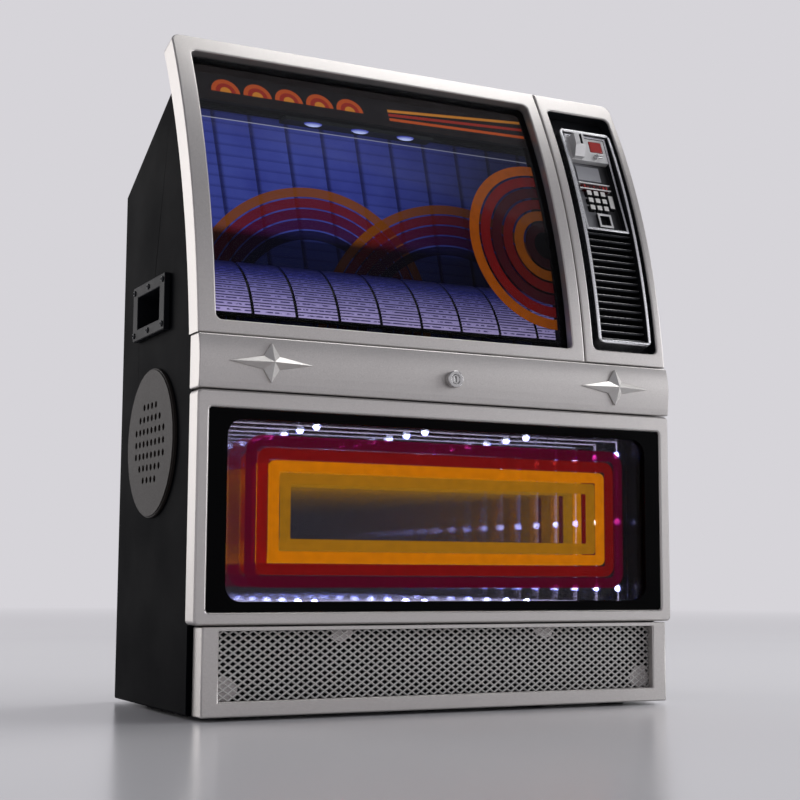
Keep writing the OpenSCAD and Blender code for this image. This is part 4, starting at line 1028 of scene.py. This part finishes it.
def capped(node, x_range, opening_x, opening_z, radii):
    """A curved frame whose front skin is replaced with a rounded cap."""
    touch_z = sum(opening_z) / 2
    lean = lean_at(touch_z)
    shape = bmesh.new()
    shape.from_mesh(merged(node))
    for vert in shape.verts:
        if front_depth(vert.co) < SKIN:
            x, y, z = drawn(vert.co)
            tilt = 0.0 if z < SILL_Z + 0.05 else lean
            height = (y - CURVE_Y) * math.sin(tilt) + (z - CURVE_Z) * math.cos(tilt)
            vert.co = on_arc(x, height, CAP_DEPTH - CAP_OVERLAP, tilt)
    outer = outline(x_range, [tangent_height(z, touch_z) for z in (SILL_Z, HEAD_Z)], radii)
    inner = outline(opening_x, [tangent_height(z, touch_z) for z in opening_z], [OPENING_ROUND] * 4)
    add_cap(shape, outer, inner, touch_z)
    piece = link(node + "_piece", mesh_from(node + "_piece", shape, finishes[slot_of[node]]))
    piece.data.shade_smooth()
    piece.data.set_sharp_from_angle(angle=SHARP)
    piece.modifiers.new("even", "WEIGHTED_NORMAL").keep_sharp = True
    settled(piece)
    return place_piece(piece, body_of[node], slot_of[node], node)


for node, sizes in CURVED_FRAMES.items():
    soft_pieces[node] = capped(node, *sizes)
    print(node, "faces:", len(soft_pieces[node].data.polygons))

# %% [markdown]
# Some solids carry more than one finish: the selector frame is silver outside and dark on the walls of its
# recess, the key tray has a bright rim round a grey floor, and only the tops of the keys are white. A test on
# each face's place and direction picks the faces for the other finish. Where two tests pick the same face,
# the later one in the list holds.

# %% Paint the second finishes
TRAY_LEAN = lean_at(TRAY_Z)
TRAY_OUT = Vector((0, -math.cos(TRAY_LEAN), math.sin(TRAY_LEAN)))
RECESS_X = (55.0, 81.5)
RECESS_Z = (116.3, 207.4)
RECESS_LIP = 0.7
COIN_SLOT = (63.05, 64.15)


def tray_depth(point):
    """How far a point of the frame lies behind the tray's plane, in millimetres."""
    return (on_tray(0, 0, 0) - point).dot(TRAY_OUT) / MM


def recess_wall(point, normal):
    """Walls of the selector's recess, behind the rounding of its edge."""
    x, y, z = drawn(point)
    across = RECESS_X[0] < x < RECESS_X[1]
    upright = RECESS_Z[0] < z < RECESS_Z[1]
    return across and upright and front_depth(point) > RECESS_LIP


def tray_floor(start):
    """Grey floor of the key tray, with painted shadow towards the right."""
    place = object_place(start)
    x, y, z = axes(place)
    grit = noise(place, 1800.0)
    # Painted shadow: grey on the left to near black on the right, where the recess shades the floor.
    colour = x.spread(62.0, 75.0).mix(tint("77777B"), tint("121214"))
    return surface(start, {
        "Base Color": colour, "Roughness": grit.spread(0.3, 0.7, 0.35, 0.45), "Normal": relief(grit, 0.05)})


def bezel_inside(point, normal):
    """Faces of the bezel that look at the selector's middle."""
    return normal.x * (SELECTOR_X * MM - point.x) > 0 and abs(normal.x) > 0.7


def coin_slot(point, normal):
    """Walls and floor of the coin slot."""
    across = COIN_SLOT[0] < point.x / MM < COIN_SLOT[1]
    return across and (abs(normal.x) > 0.8 or (tray_depth(point) > -0.5 and normal.dot(TRAY_OUT) > 0.5))


finishes["key_side"] = finish("key_side", moulded("1A1A1C", 0.4, depth=0.03))
finishes["tray_floor"] = finish("tray_floor", tray_floor)
SECOND_FINISHES = [
    ("selector_frame", "charcoal", recess_wall),
    ("selector_bezel", "charcoal", bezel_inside),
    ("header_panel", "black_plastic", lambda c, n: n.y > -0.5),
    ("coin_entry", "coin_silver", lambda c, n: True),
    ("coin_entry", "black_plastic", coin_slot),
    ("selector_pan", "tray_floor", lambda c, n: tray_depth(c) > 2.2),
    ("selector_pan", "charcoal", lambda c, n: abs(n.dot(TRAY_OUT)) < 0.3),
    ("selector_pan", "bezel_chrome", lambda c, n: tray_depth(c) < 1.5),
    ("return_cup", "coin_silver", lambda c, n: tray_depth(c) < 2.7),
    ("return_cup", "key_side", lambda c, n: n.dot(TRAY_OUT) < 0.3 or tray_depth(c) > 2.7),
]
for node in ["tall_key"] + ["key_%d" % number for number in range(1, 10)]:
    SECOND_FINISHES.append((node, "key_side", lambda c, n: n.dot(TRAY_OUT) < 0.4))
for node, name, chosen in SECOND_FINISHES:
    paint(soft_pieces[node], finishes[name], chosen)
print("painted pieces:", len({node for node, name, chosen in SECOND_FINISHES}))

# %% [markdown]
# ## Plinth mesh
# The plinth's mesh is expanded metal: zigzag strands that touch at every turn and leave diamond openings. It
# could be a flat plate with holes, but then the strands would have no roundness to glint. A Geometry Nodes
# tree makes one zigzag, gives it a thickness, and repeats it upwards, with every second one shifted by half a
# cell.

# %% Make the mesh


def node_tree(name, sizes):
    """An empty Geometry Nodes tree with named inputs, and the wire of each input."""
    tree = bpy.data.node_groups.new(name, "GeometryNodeTree")
    tree.interface.new_socket("Geometry", in_out="OUTPUT", socket_type="NodeSocketGeometry")
    tree.interface.new_socket("Geometry", in_out="INPUT", socket_type="NodeSocketGeometry")
    for label, kind in sizes.items():
        tree.interface.new_socket(label, in_out="INPUT", socket_type="NodeSocket" + kind)
    entry = tree.nodes.new("NodeGroupInput")
    return tree, {socket.name: Wire(tree, socket) for socket in entry.outputs if socket.name}


def run_tree(piece, tree, values):
    """Runs a tree on a piece with these input values and keeps the result as plain mesh."""
    modifier = piece.modifiers.new(tree.name, "NODES")
    modifier.node_group = tree
    for item in tree.interface.items_tree:
        if item.in_out == "INPUT" and item.name in values:
            modifier[item.identifier] = values[item.name]
    return settled(piece)


def strand_tree():
    """The tree of the mesh: rows of zigzag strands."""
    tree, size = node_tree("expanded_mesh", {"Half cell": "Float", "Half row": "Float", "Turns": "Int",
                                             "Rows": "Int", "Strand": "Float", "Material": "Material"})
    start = Wire(tree)
    step = start.node("ShaderNodeCombineXYZ", {}, {"X": size["Half cell"]})
    line = start.node("GeometryNodeMeshLine", {}, {"Count": size["Turns"], "Offset": step})
    turn = start.node("GeometryNodeInputIndex")
    high = start.math("MODULO", turn, 2.0) * size["Half row"]
    lift = start.node("ShaderNodeCombineXYZ", {}, {"Z": high})
    zigzag = start.node("GeometryNodeSetPosition", {}, {"Geometry": line, "Offset": lift})
    path = start.node("GeometryNodeMeshToCurve", {}, {"Mesh": zigzag})
    wire = start.node("GeometryNodeCurvePrimitiveCircle", {}, {"Resolution": 6, "Radius": size["Strand"]})
    strand = start.node("GeometryNodeCurveToMesh", {},
                        {"Curve": path, "Profile Curve": wire, "Fill Caps": True})
    rise = start.node("ShaderNodeCombineXYZ", {}, {"Z": size["Half row"]})
    rows = start.node("GeometryNodeMeshLine", {}, {"Count": size["Rows"], "Offset": rise})
    odd = start.math("MODULO", start.node("GeometryNodeInputIndex"), 2.0) * size["Half cell"]
    shift = start.node("ShaderNodeCombineXYZ", {}, {"X": odd})
    shifted = start.node("GeometryNodeSetPosition", {}, {"Geometry": rows, "Offset": shift})
    many = start.node("GeometryNodeInstanceOnPoints", {}, {"Points": shifted, "Instance": strand})
    real = start.node("GeometryNodeRealizeInstances", {}, {"Geometry": many})
    done = start.node("GeometryNodeSetMaterial", {}, {"Geometry": real, "Material": size["Material"]})
    start.node("NodeGroupOutput", {}, {"Geometry": done})
    return tree


def cut_off(shape, point, outward):
    """Cuts everything beyond a plane off a shape and closes the cut."""
    cut = bmesh.ops.bisect_plane(shape, geom=shape.verts[:] + shape.edges[:] + shape.faces[:], dist=1e-7,
                                 plane_co=point, plane_no=outward, clear_outer=True)
    rim = [item for item in cut["geom_cut"] if isinstance(item, bmesh.types.BMEdge)]
    bmesh.ops.edgenet_fill(shape, edges=rim)


MESH_CELL = 3.08
MESH_ROW = 2.13
MESH_STRAND = 0.4
MESH_HALF = 76.8
MESH_FOOT = 3.8
MESH_TOP = 25.2
MESH_Y = 4.0
MESH_SHARP = math.radians(65)
turns = int(2 * MESH_HALF / MESH_CELL) * 2 + 6
rows = int((MESH_TOP - MESH_FOOT) / (MESH_ROW / 2)) + 2
mesh_piece = link("expanded_mesh", bpy.data.meshes.new("expanded_mesh"))
run_tree(mesh_piece, strand_tree(), {
    "Half cell": MESH_CELL / 2 * MM, "Half row": MESH_ROW / 2 * MM, "Turns": turns, "Rows": rows,
    "Strand": MESH_STRAND * MM, "Material": finishes["mesh_silver"]})
mesh_piece.data.transform(Matrix.Translation(at(-MESH_HALF - MESH_CELL, MESH_Y, MESH_FOOT - MESH_ROW / 4)))
shape = bmesh.new()
shape.from_mesh(mesh_piece.data)
for point, outward in ((at(-MESH_HALF, 0, 0), (-1, 0, 0)), (at(MESH_HALF, 0, 0), (1, 0, 0)),
                       (at(0, 0, MESH_FOOT), (0, 0, -1)), (at(0, 0, MESH_TOP), (0, 0, 1))):
    cut_off(shape, point, outward)
shape.to_mesh(mesh_piece.data)
shape.free()
mesh_piece.data.shade_smooth()
mesh_piece.data.set_sharp_from_angle(angle=MESH_SHARP)
place_piece(mesh_piece, "cabinet", "mesh_silver", "plinth_mesh")
print("mesh faces:", len(mesh_piece.data.polygons))

# %% [markdown]
# The mesh is bonded to its frame at four places, where pale adhesive fills the openings. Each bond is a thin
# cake with a slightly uneven rim, a little lower than the strands, and it ends where the frame begins. Like
# most small pieces from here on it is round, so two helpers come first: the directions round a circle, and
# the faces between one loop of corners and the next.

# %% Bond the mesh
BONDS = [(-35.8, 24.6), (35.8, 24.6), (-72.8, 7.8), (72.8, 7.8)]
BOND_REACH = 3.6
BOND_SIDES = 28
BOND_Y = (3.95, 4.4)
OPENING_X = (-76.6, 76.6)
OPENING_Z = (4.0, 25.0)


def circle(sides):
    """Directions round a circle, as pairs."""
    turns = [2 * math.pi * i / sides for i in range(sides)]
    return [(math.cos(turn), math.sin(turn)) for turn in turns]


def join_loops(shape, loops):
    """Faces between each loop of corners and the next one."""
    made = []
    for lower, upper in zip(loops, loops[1:]):
        for i in range(len(lower)):
            k = (i + 1) % len(lower)
            made.append(shape.faces.new((lower[i], lower[k], upper[k], upper[i])))
    return made


def add_bond(shape, x, z):
    """A cake of adhesive between two depths, cut off at the edges of the opening."""
    rims = []
    for y in BOND_Y:
        rim = []
        for i in range(BOND_SIDES):
            turn = 2 * math.pi * i / BOND_SIDES
            reach = BOND_REACH * (1 + 0.06 * math.sin(3 * turn + x) + 0.04 * math.sin(7 * turn))
            rim_x = min(max(x + reach * math.cos(turn), OPENING_X[0]), OPENING_X[1])
            rim_z = min(max(z + reach * math.sin(turn), OPENING_Z[0]), OPENING_Z[1])
            rim.append(shape.verts.new(at(rim_x, y, rim_z)))
        rims.append(rim)
    shape.faces.new(rims[0])
    shape.faces.new(reversed(rims[1]))
    join_loops(shape, rims)


shape = bmesh.new()
for x, z in BONDS:
    add_bond(shape, x, z)
bmesh.ops.remove_doubles(shape, verts=shape.verts, dist=1e-6)
bond_mesh = mesh_from("mesh_bonds", shape, finish("bond", moulded("B9B2B0", 0.5, depth=0.3)))
place_piece(link("mesh_bonds", bond_mesh), "cabinet", slot_of["plinth_mesh"])
print("bonds:", len(BONDS), "faces:", len(bond_mesh.polygons))

# %% [markdown]
# ## Screws
# Twelve small round-headed screws hold the handle plates and six larger ones the back. All heads are one
# shape at two sizes, so a tree sets a head on each point of a small point mesh. Each point carries the
# direction in which its head faces and its size as attributes.

# %% Set the screws
HEAD_SIDES = 12
HEAD_RINGS = [(0.98, 0.0), (1.0, 0.12), (0.92, 0.34), (0.68, 0.5), (0.5, 0.54)]
SOCKET_RADIUS = 0.46
SOCKET_HEIGHTS = (0.5, 0.14)


def head_mesh():
    """A round screw head with a six-sided socket: one unit wide in radius, pointing up."""
    shape = bmesh.new()
    loops = []
    for radius, height in HEAD_RINGS:
        loops.append([shape.verts.new((radius * c, radius * s, height)) for c, s in circle(HEAD_SIDES)])
    for height in SOCKET_HEIGHTS:
        loop = []
        for i, (c, s) in enumerate(circle(HEAD_SIDES)):
            radius = SOCKET_RADIUS if i % 2 == 0 else SOCKET_RADIUS * math.cos(math.pi / 6)
            loop.append(shape.verts.new((radius * c, radius * s, height)))
        loops.append(loop)
    join_loops(shape, loops)
    shape.faces.new(loops[-1])
    shape.faces.new(reversed(loops[0]))
    return mesh_from("screw_head", shape)


def screw_tree():
    """The tree of the screws: a head on each point, turned and sized by the point's attributes."""
    tree, size = node_tree("screws", {"Head": "Object", "Material": "Material"})
    start = Wire(tree)
    head = start.node("GeometryNodeObjectInfo", {}, {"Object": size["Head"]}, output="Geometry")
    facing = start.node("GeometryNodeInputNamedAttribute", {"data_type": "FLOAT_VECTOR"}, {"Name": "facing"})
    girth = start.node("GeometryNodeInputNamedAttribute", {"data_type": "FLOAT"}, {"Name": "girth"})
    turned = start.node("FunctionNodeAlignRotationToVector", {"axis": "Z"}, {"Vector": facing})
    many = start.node("GeometryNodeInstanceOnPoints", {}, {"Points": size["Geometry"], "Instance": head,
                                                           "Rotation": turned, "Scale": girth})
    real = start.node("GeometryNodeRealizeInstances", {}, {"Geometry": many})
    done = start.node("GeometryNodeSetMaterial", {}, {"Geometry": real, "Material": size["Material"]})
    start.node("NodeGroupOutput", {}, {"Geometry": done})
    return tree


HANDLE_Y = 48.586
HANDLE_Z = 125.8
PLATE_X = 85.0
PLATE_ALONG = (-14.6, 0.0, 14.6)
PLATE_LIFTS = (-7.1, 7.1)
PLATE_HEAD = 1.0
COVER_X = 75.8
COVER_BACK = 81.0
COVER_HEIGHTS = (12.0, 89.2, 154.4)
COVER_HEAD = 2.0
places, facings, girths = [], [], []
for side in (-1, 1):
    for along in PLATE_ALONG:
        for lift in PLATE_LIFTS:
            places.append(at(side * PLATE_X, HANDLE_Y + along, HANDLE_Z + lift))
            facings.append((side, 0, 0))
            girths.append(PLATE_HEAD * MM)
    for height in COVER_HEIGHTS:
        places.append(at(side * COVER_X, COVER_BACK, height))
        facings.append((0, 1, 0))
        girths.append(COVER_HEAD * MM)
points = bpy.data.meshes.new("screws")
points.from_pydata(places, [], [])
points.attributes.new("facing", "FLOAT_VECTOR", "POINT").data.foreach_set(
    "vector", [v for facing in facings for v in facing])
points.attributes.new("girth", "FLOAT", "POINT").data.foreach_set("value", girths)
head = link("screw_head", head_mesh())
screws = link("screws", points)
run_tree(screws, screw_tree(), {"Head": head, "Material": finishes["dark_screws"]})
bpy.data.objects.remove(head)
screws.data.shade_smooth()
screws.data.set_sharp_from_angle(angle=SHARP)
print("screws:", len(places), "faces:", len(screws.data.polygons))

# %% [markdown]
# The hinge pins are in the same solid as the screws, so the piece that stands for it needs them as well: two
# short steel rods with rounded ends, whose caps show at the sides of the hinge knuckles.

# %% Add the hinge pins
HINGE_Y = 39.027
HINGE_Z = 197.6
PIN_X = (-60.0, 27.45)
PIN_R = 0.8
PIN_HALF = 7.8
PIN_SIDES = 20


def add_pin(shape, x):
    """A rod along x with a small rounded end on both sides."""
    soft = PIN_R * 0.3
    x0 = x - PIN_HALF
    x1 = x + PIN_HALF
    loops = []
    for end, reach in ((x0, PIN_R - soft), (x0 + soft, PIN_R), (x1 - soft, PIN_R), (x1, PIN_R - soft)):
        spots = [at(end, HINGE_Y + reach * c, HINGE_Z + reach * s) for c, s in circle(PIN_SIDES)]
        loops.append([shape.verts.new(spot) for spot in spots])
    join_loops(shape, loops)
    shape.faces.new(reversed(loops[0]))
    shape.faces.new(loops[-1])


shape = bmesh.new()
shape.from_mesh(screws.data)
for x in PIN_X:
    add_pin(shape, x)
bmesh.ops.recalc_face_normals(shape, faces=shape.faces)
shape.to_mesh(screws.data)
shape.free()
place_piece(screws, "cabinet", "dark_screws", "fasteners")
print("with pins, faces:", len(screws.data.polygons))

# %% [markdown]
# ## Printed stripes of the tunnel
# Four printed frames lie on the back of the tunnel's glass, each in its own colour. They are thin rings with
# round corners, so one function draws the outline of a rounded rectangle and another fills the space between
# two outlines and gives it a little thickness. The lamps stand behind the print, and their light on it is
# painted
# in as a glow: its back gets a copy of the ink with a brighter painted glow, and that is what the mirrors
# repeat.

# %% Print the stripes
TUNNEL_Z = 59.8
PRINT_Y = 4.52
PRINT_T = 0.28
STRIPE = 3.4
STRIPE_STEP = 3.7
# Painted lamp light: the glow of the print's front and of its brighter back.
AMBER_HALF = (60.0, 15.3)
PRINT_GLOW = 1.5
BACK_GLOW = 3.0
AMBER = 2
MIDDLE_ROUND = 1.0
LEAST_ROUND = 0.4
STRIPE_INKS = [("purple_ink", "62062E", "D868A8", 0.45), ("red_ink", "821818", "F07868", 0.52),
               ("amber_ink", "C48806", "FFCC78", 0.82), ("ochre_ink", "A8821E", "F0D498", 0.58)]


def rounded_outline(half_x, half_z, radius, steps=6):
    """Corners of a rounded rectangle round the origin, as pairs."""
    points = []
    for turn, (sx, sz) in enumerate(((1, 1), (-1, 1), (-1, -1), (1, -1))):
        for i in range(steps + 1):
            angle = math.radians(90 * (turn + i / steps))
            points.append((sx * (half_x - radius) + radius * math.cos(angle),
                           sz * (half_z - radius) + radius * math.sin(angle)))
    return points


def tunnel_lay(y):
    """A function that lays the points of a flat outline upright in the tunnel, from a depth on."""
    return lambda point, depth: at(point[0], y + depth, TUNNEL_Z + point[1])


def ring(shape, outer, inner, lay, thickness, slot, back_slot, closed=True):
    """A thin ring, or an open strip, between two outlines; lay puts its points into the frame."""
    edges = []
    for line, depth in ((outer, 0.0), (inner, 0.0), (inner, thickness), (outer, thickness)):
        edges.append([shape.verts.new(lay(point, depth)) for point in line])
    sections = list(zip(*edges))
    follows = sections[1:] + sections[:1] if closed else sections[1:]
    for here, there in zip(sections, follows):
        for i in range(4):
            k = (i + 1) % 4
            face = shape.faces.new((here[i], here[k], there[k], there[i]))
            face.material_index = back_slot if i == 2 else slot
    if not closed:
        for end in (sections[0], sections[-1]):
            shape.faces.new(end).material_index = slot


shape = bmesh.new()
for index in range(len(STRIPE_INKS)):
    inward = index - AMBER
    half_x = AMBER_HALF[0] - inward * STRIPE_STEP
    half_z = AMBER_HALF[1] - inward * STRIPE_STEP
    radius = MIDDLE_ROUND if inward > 0 else 2.0 - 1.6 * inward
    outer = rounded_outline(half_x, half_z, radius)
    inner = rounded_outline(half_x - STRIPE, half_z - STRIPE, max(radius - STRIPE, LEAST_ROUND))
    ring(shape, outer, inner, tunnel_lay(PRINT_Y), PRINT_T, 2 * index, 2 * index + 1)
stripe_mesh = mesh_from("tunnel_print", shape)
for name, code, clear, cover in STRIPE_INKS:
    stripe_mesh.materials.append(finish(name, ink(code, PRINT_GLOW, cover, clear)))
    stripe_mesh.materials.append(finish(name + "_back", ink(code, BACK_GLOW, cover, clear)))
place_piece(link("tunnel_print", stripe_mesh), "cabinet", "printed_stripe", "tunnel_stripes")
print("stripe faces:", len(stripe_mesh.polygons))

# %% [markdown]
# ## Mirror films, lamps and lit edges of the tunnel
# The film is a second finish on one face of the front pane. The lamps are small lenses that stand a little
# out of the walls, and a thin lit line runs round the clear ring where the lamps are set into it. The three
# softer lamps in the ceiling of the title window belong to the same solid, so they are made here as well.

# %% Fit the tunnel
GUIDE_HALF = (75.4, 27.7)
LAMP_Y = 18.8
LAMPS_ALONG = (-38.5, 0.0, 38.5)
LAMPS_UP = (-23.0, 0.0, 23.0)
LONG_LENS = (2.8, 2.2, 1.5)
SHORT_LENS = (2.4, 2.2, 1.5)
CEILING_LENS = (6.4, 3.6, 0.9)
LENS_SIDES = 16
LENS_STEPS = 4
CEILING_X = (-36.6, -19.6, -2.6)
CEILING_Y = 28.9
LINE_Y = 18.6
LINE_T = 0.4
LINE_INSETS = (0.02, 0.3)
LINE_ROUNDS = (0.5, 0.3)


def filmed(node, film_finish):
    """A pane's copy whose back face carries the film."""
    piece = softened(node, 0)
    paint(piece, film_finish, lambda c, n: n.y > 0.9)
    return piece


def lamp_lens(shape, place, facing, size, slot=0):
    """A small lamp lens on a wall: an oblong dome that stands out along facing."""
    wide, deep, tall = size
    inward = Vector(facing)
    backward = Vector((0, 1, 0))
    side = backward.cross(inward)
    loops = []
    for step in range(LENS_STEPS):
        turn = math.pi / 2 * step / LENS_STEPS
        reach = math.cos(turn)
        loop = []
        for c, s in circle(LENS_SIDES):
            offset = side * (wide / 2 * reach * c) + backward * (deep / 2 * reach * s)
            loop.append(shape.verts.new(place + (offset + inward * (tall * math.sin(turn))) * MM))
        loops.append(loop)
    faces = [shape.faces.new(loops[0])] + join_loops(shape, loops)
    tip = shape.verts.new(place + inward * tall * MM)
    for i in range(LENS_SIDES):
        faces.append(shape.faces.new((loops[-1][i], loops[-1][(i + 1) % LENS_SIDES], tip)))
    for face in faces:
        face.material_index = slot


filmed("tunnel_glass", finishes["tunnel_film"])
softened("half_mirror", 0)
shape = bmesh.new()
for x in LAMPS_ALONG:
    for way in (-1, 1):
        lamp_lens(shape, at(x, LAMP_Y, TUNNEL_Z + way * GUIDE_HALF[1]), (0, 0, -way), LONG_LENS)
for z in LAMPS_UP:
    for way in (-1, 1):
        lamp_lens(shape, at(way * GUIDE_HALF[0], LAMP_Y, TUNNEL_Z + z), (-way, 0, 0), SHORT_LENS)
for x in CEILING_X:
    lamp_lens(shape, at(x, CEILING_Y, CEILING_Z), (0, 0, -1), CEILING_LENS, 1)
lamp_mesh = mesh_from("tunnel_lamps", shape, finishes["tunnel_lamp"], finishes["lamp_white"])
lamp_mesh.shade_smooth()
place_piece(link("tunnel_lamps", lamp_mesh), "cabinet", slot_of["leds"], "leds")
shape = bmesh.new()
outer, inner = [rounded_outline(GUIDE_HALF[0] - inset, GUIDE_HALF[1] - inset, radius)
                for inset, radius in zip(LINE_INSETS, LINE_ROUNDS)]
ring(shape, outer, inner, tunnel_lay(LINE_Y), LINE_T, 0, 0)
line_mesh = mesh_from("guide_line", shape, finishes["guide_line"])
place_piece(link("guide_line", line_mesh), "cabinet", slot_of["light_guide"])
print("lamp faces:", len(lamp_mesh.polygons))

# %% [markdown]
# ## Bands on the window glass
# At the right the back of the window glass carries printed bands: half rings one inside the other. They bend
# with the glass, so their outlines are drawn flat and laid on the curve just behind the pane.

# %% Print the bands
BAND_CENTRE = (44.6, 153.0)
BAND_RADIUS = 30.0
BAND_STEP = 4.3
BAND_WIDTH = 3.5
BAND_DEPTH = 4.76
BAND_T = 0.12
# The last number of each band is its painted glow: the window's light behind it.
BAND_INKS = [("band_orange", "A04E06", 0.3), ("band_red", "6E0C0C", 0.3), ("band_maroon", "380610", 0.25),
             ("band_red_dark", "5A0A0A", 0.25), ("band_amber", "7A3E04", 0.28), ("band_core", "24040A", 0.2)]
BAND_STEPS = 40


def half_circle(radius):
    """Points of the left half of a circle round the bands' centre."""
    points = []
    for i in range(BAND_STEPS + 1):
        angle = math.radians(90 + 180 * i / BAND_STEPS)
        points.append((BAND_CENTRE[0] + radius * math.cos(angle), BAND_CENTRE[1] + radius * math.sin(angle)))
    return points


def behind_glass(point, depth):
    """A point of the flat drawing of the bands, laid on the curve."""
    return on_front(point[0], point[1], BAND_DEPTH + depth)


shape = bmesh.new()
for index in range(len(BAND_INKS)):
    radius = BAND_RADIUS - index * BAND_STEP
    outer = half_circle(radius)
    inner = half_circle(radius - BAND_WIDTH)
    ring(shape, outer, inner, behind_glass, BAND_T, index, index, closed=False)
inks = [finish(name, ink(code, glow)) for name, code, glow in BAND_INKS]
band_mesh = mesh_from("window_bands", shape, *inks)
place_piece(link("window_bands", band_mesh), "lid", "header_card")
print("band faces:", len(band_mesh.polygons))

# %% [markdown]
# ## Small plates of the selector
# The tray carries a grey price card under the coin plate and two silver bars above and below the red display.
# They are flat plates with bevelled edges that lie on the tray's tilted floor.

# %% Lay the selector's plates
TRAY_FLOOR = 3.57
BOX_FACES = [(0, 1, 2, 3), (7, 6, 5, 4), (0, 4, 5, 1), (1, 5, 6, 2), (2, 6, 7, 3), (3, 7, 4, 0)]
CARD_X = (62.6, 72.4)
CARD_HEIGHTS = (2.7, 8.7)
CARD_FRONT = 3.3
BAR_X = (61.6, 74.6)
BAR_FEET = {"display_bar_upper": 0.55, "display_bar_lower": -1.75}
BAR_TALL = 0.5
BAR_FRONT = 2.2


def tray_plate(name, across, heights, front, radius, material, slot):
    """A bevelled plate on the tray, from its front depth to the floor."""
    corners = []
    for depth in (front, TRAY_FLOOR):
        for i, j in ((0, 0), (1, 0), (1, 1), (0, 1)):
            corners.append(on_tray(across[i], depth, heights[j]))
    mesh = bpy.data.meshes.new(name)
    mesh.from_pydata(corners, [], BOX_FACES)
    mesh.materials.append(material)
    piece = link(name, mesh)
    edge = piece.modifiers.new("edge", "BEVEL")
    edge.width = radius * MM
    edge.segments = 2
    settled(piece)
    return place_piece(piece, "cabinet", slot)


card_grey = finish("price_card", moulded("A6A6AA", 0.35, depth=0.03))
plates = [tray_plate("price_card", CARD_X, CARD_HEIGHTS, CARD_FRONT, 0.08, card_grey, "title_card")]
for name, foot in BAR_FEET.items():
    heights = (foot, foot + BAR_TALL)
    plates.append(tray_plate(name, BAR_X, heights, BAR_FRONT, 0.1, finishes["coin_silver"], "bezel_chrome"))
print("selector plates:", len(plates))

# %% [markdown]
# ## Dark cloth behind the openings
# Behind the plinth's mesh and the side grilles is black acoustic cloth, so the openings look dark and the
# inside can't be seen. A thin slab with a faint weave in its finish is enough there, because it is seen only
# through small holes.

# %% Hang the cloth
PLINTH_CLOTH_Y = (5.2, 5.8)
SIDE_CLOTH_X = (82.3, 82.9)
SIDE_CLOTH_HALF = 15.0
CLOTH_ROUND = 0.2


def woven_black(start):
    """Black cloth with a faint weave."""
    x, y, z = axes(object_place(start))
    across = stripes(x + y, 0.6, 0.3, 0.1)
    along = stripes(z, 0.6, 0.3, 0.1)
    weave = across * 0.5 + along * 0.5
    return surface(start, {
        "Base Color": weave.mix(tint("040405"), tint("0A0A0C")), "Roughness": 0.95,
        "Normal": relief(weave, 0.3)})


def cloth(name, low, high):
    """A thin bevelled slab of cloth between two corners of the drawing."""
    shape = bmesh.new()
    bmesh.ops.create_cube(shape, size=1.0)
    for vert in shape.verts:
        vert.co = at(*[low[i] if vert.co[i] < 0 else high[i] for i in range(3)])
    bmesh.ops.bevel(shape, geom=shape.edges[:], offset=CLOTH_ROUND * MM, segments=2, affect="EDGES",
                    profile=0.5)
    return place_piece(link(name, mesh_from(name, shape, cloth_black)), "cabinet", "base_black")


cloth_black = finish("acoustic_cloth", woven_black)
low, high = [(OPENING_X[i], PLINTH_CLOTH_Y[i], OPENING_Z[i]) for i in (0, 1)]
cloths = [cloth("plinth_cloth", low, high)]
for side, name in ((-1, "left_cloth"), (1, "right_cloth")):
    edges = sorted(side * edge for edge in SIDE_CLOTH_X)
    low = (edges[0], GRILLE_Y - SIDE_CLOTH_HALF, GRILLE_Z - SIDE_CLOTH_HALF)
    high = (edges[1], GRILLE_Y + SIDE_CLOTH_HALF, GRILLE_Z + SIDE_CLOTH_HALF)
    cloths.append(cloth(name, low, high))
print("cloth pieces:", len(cloths))
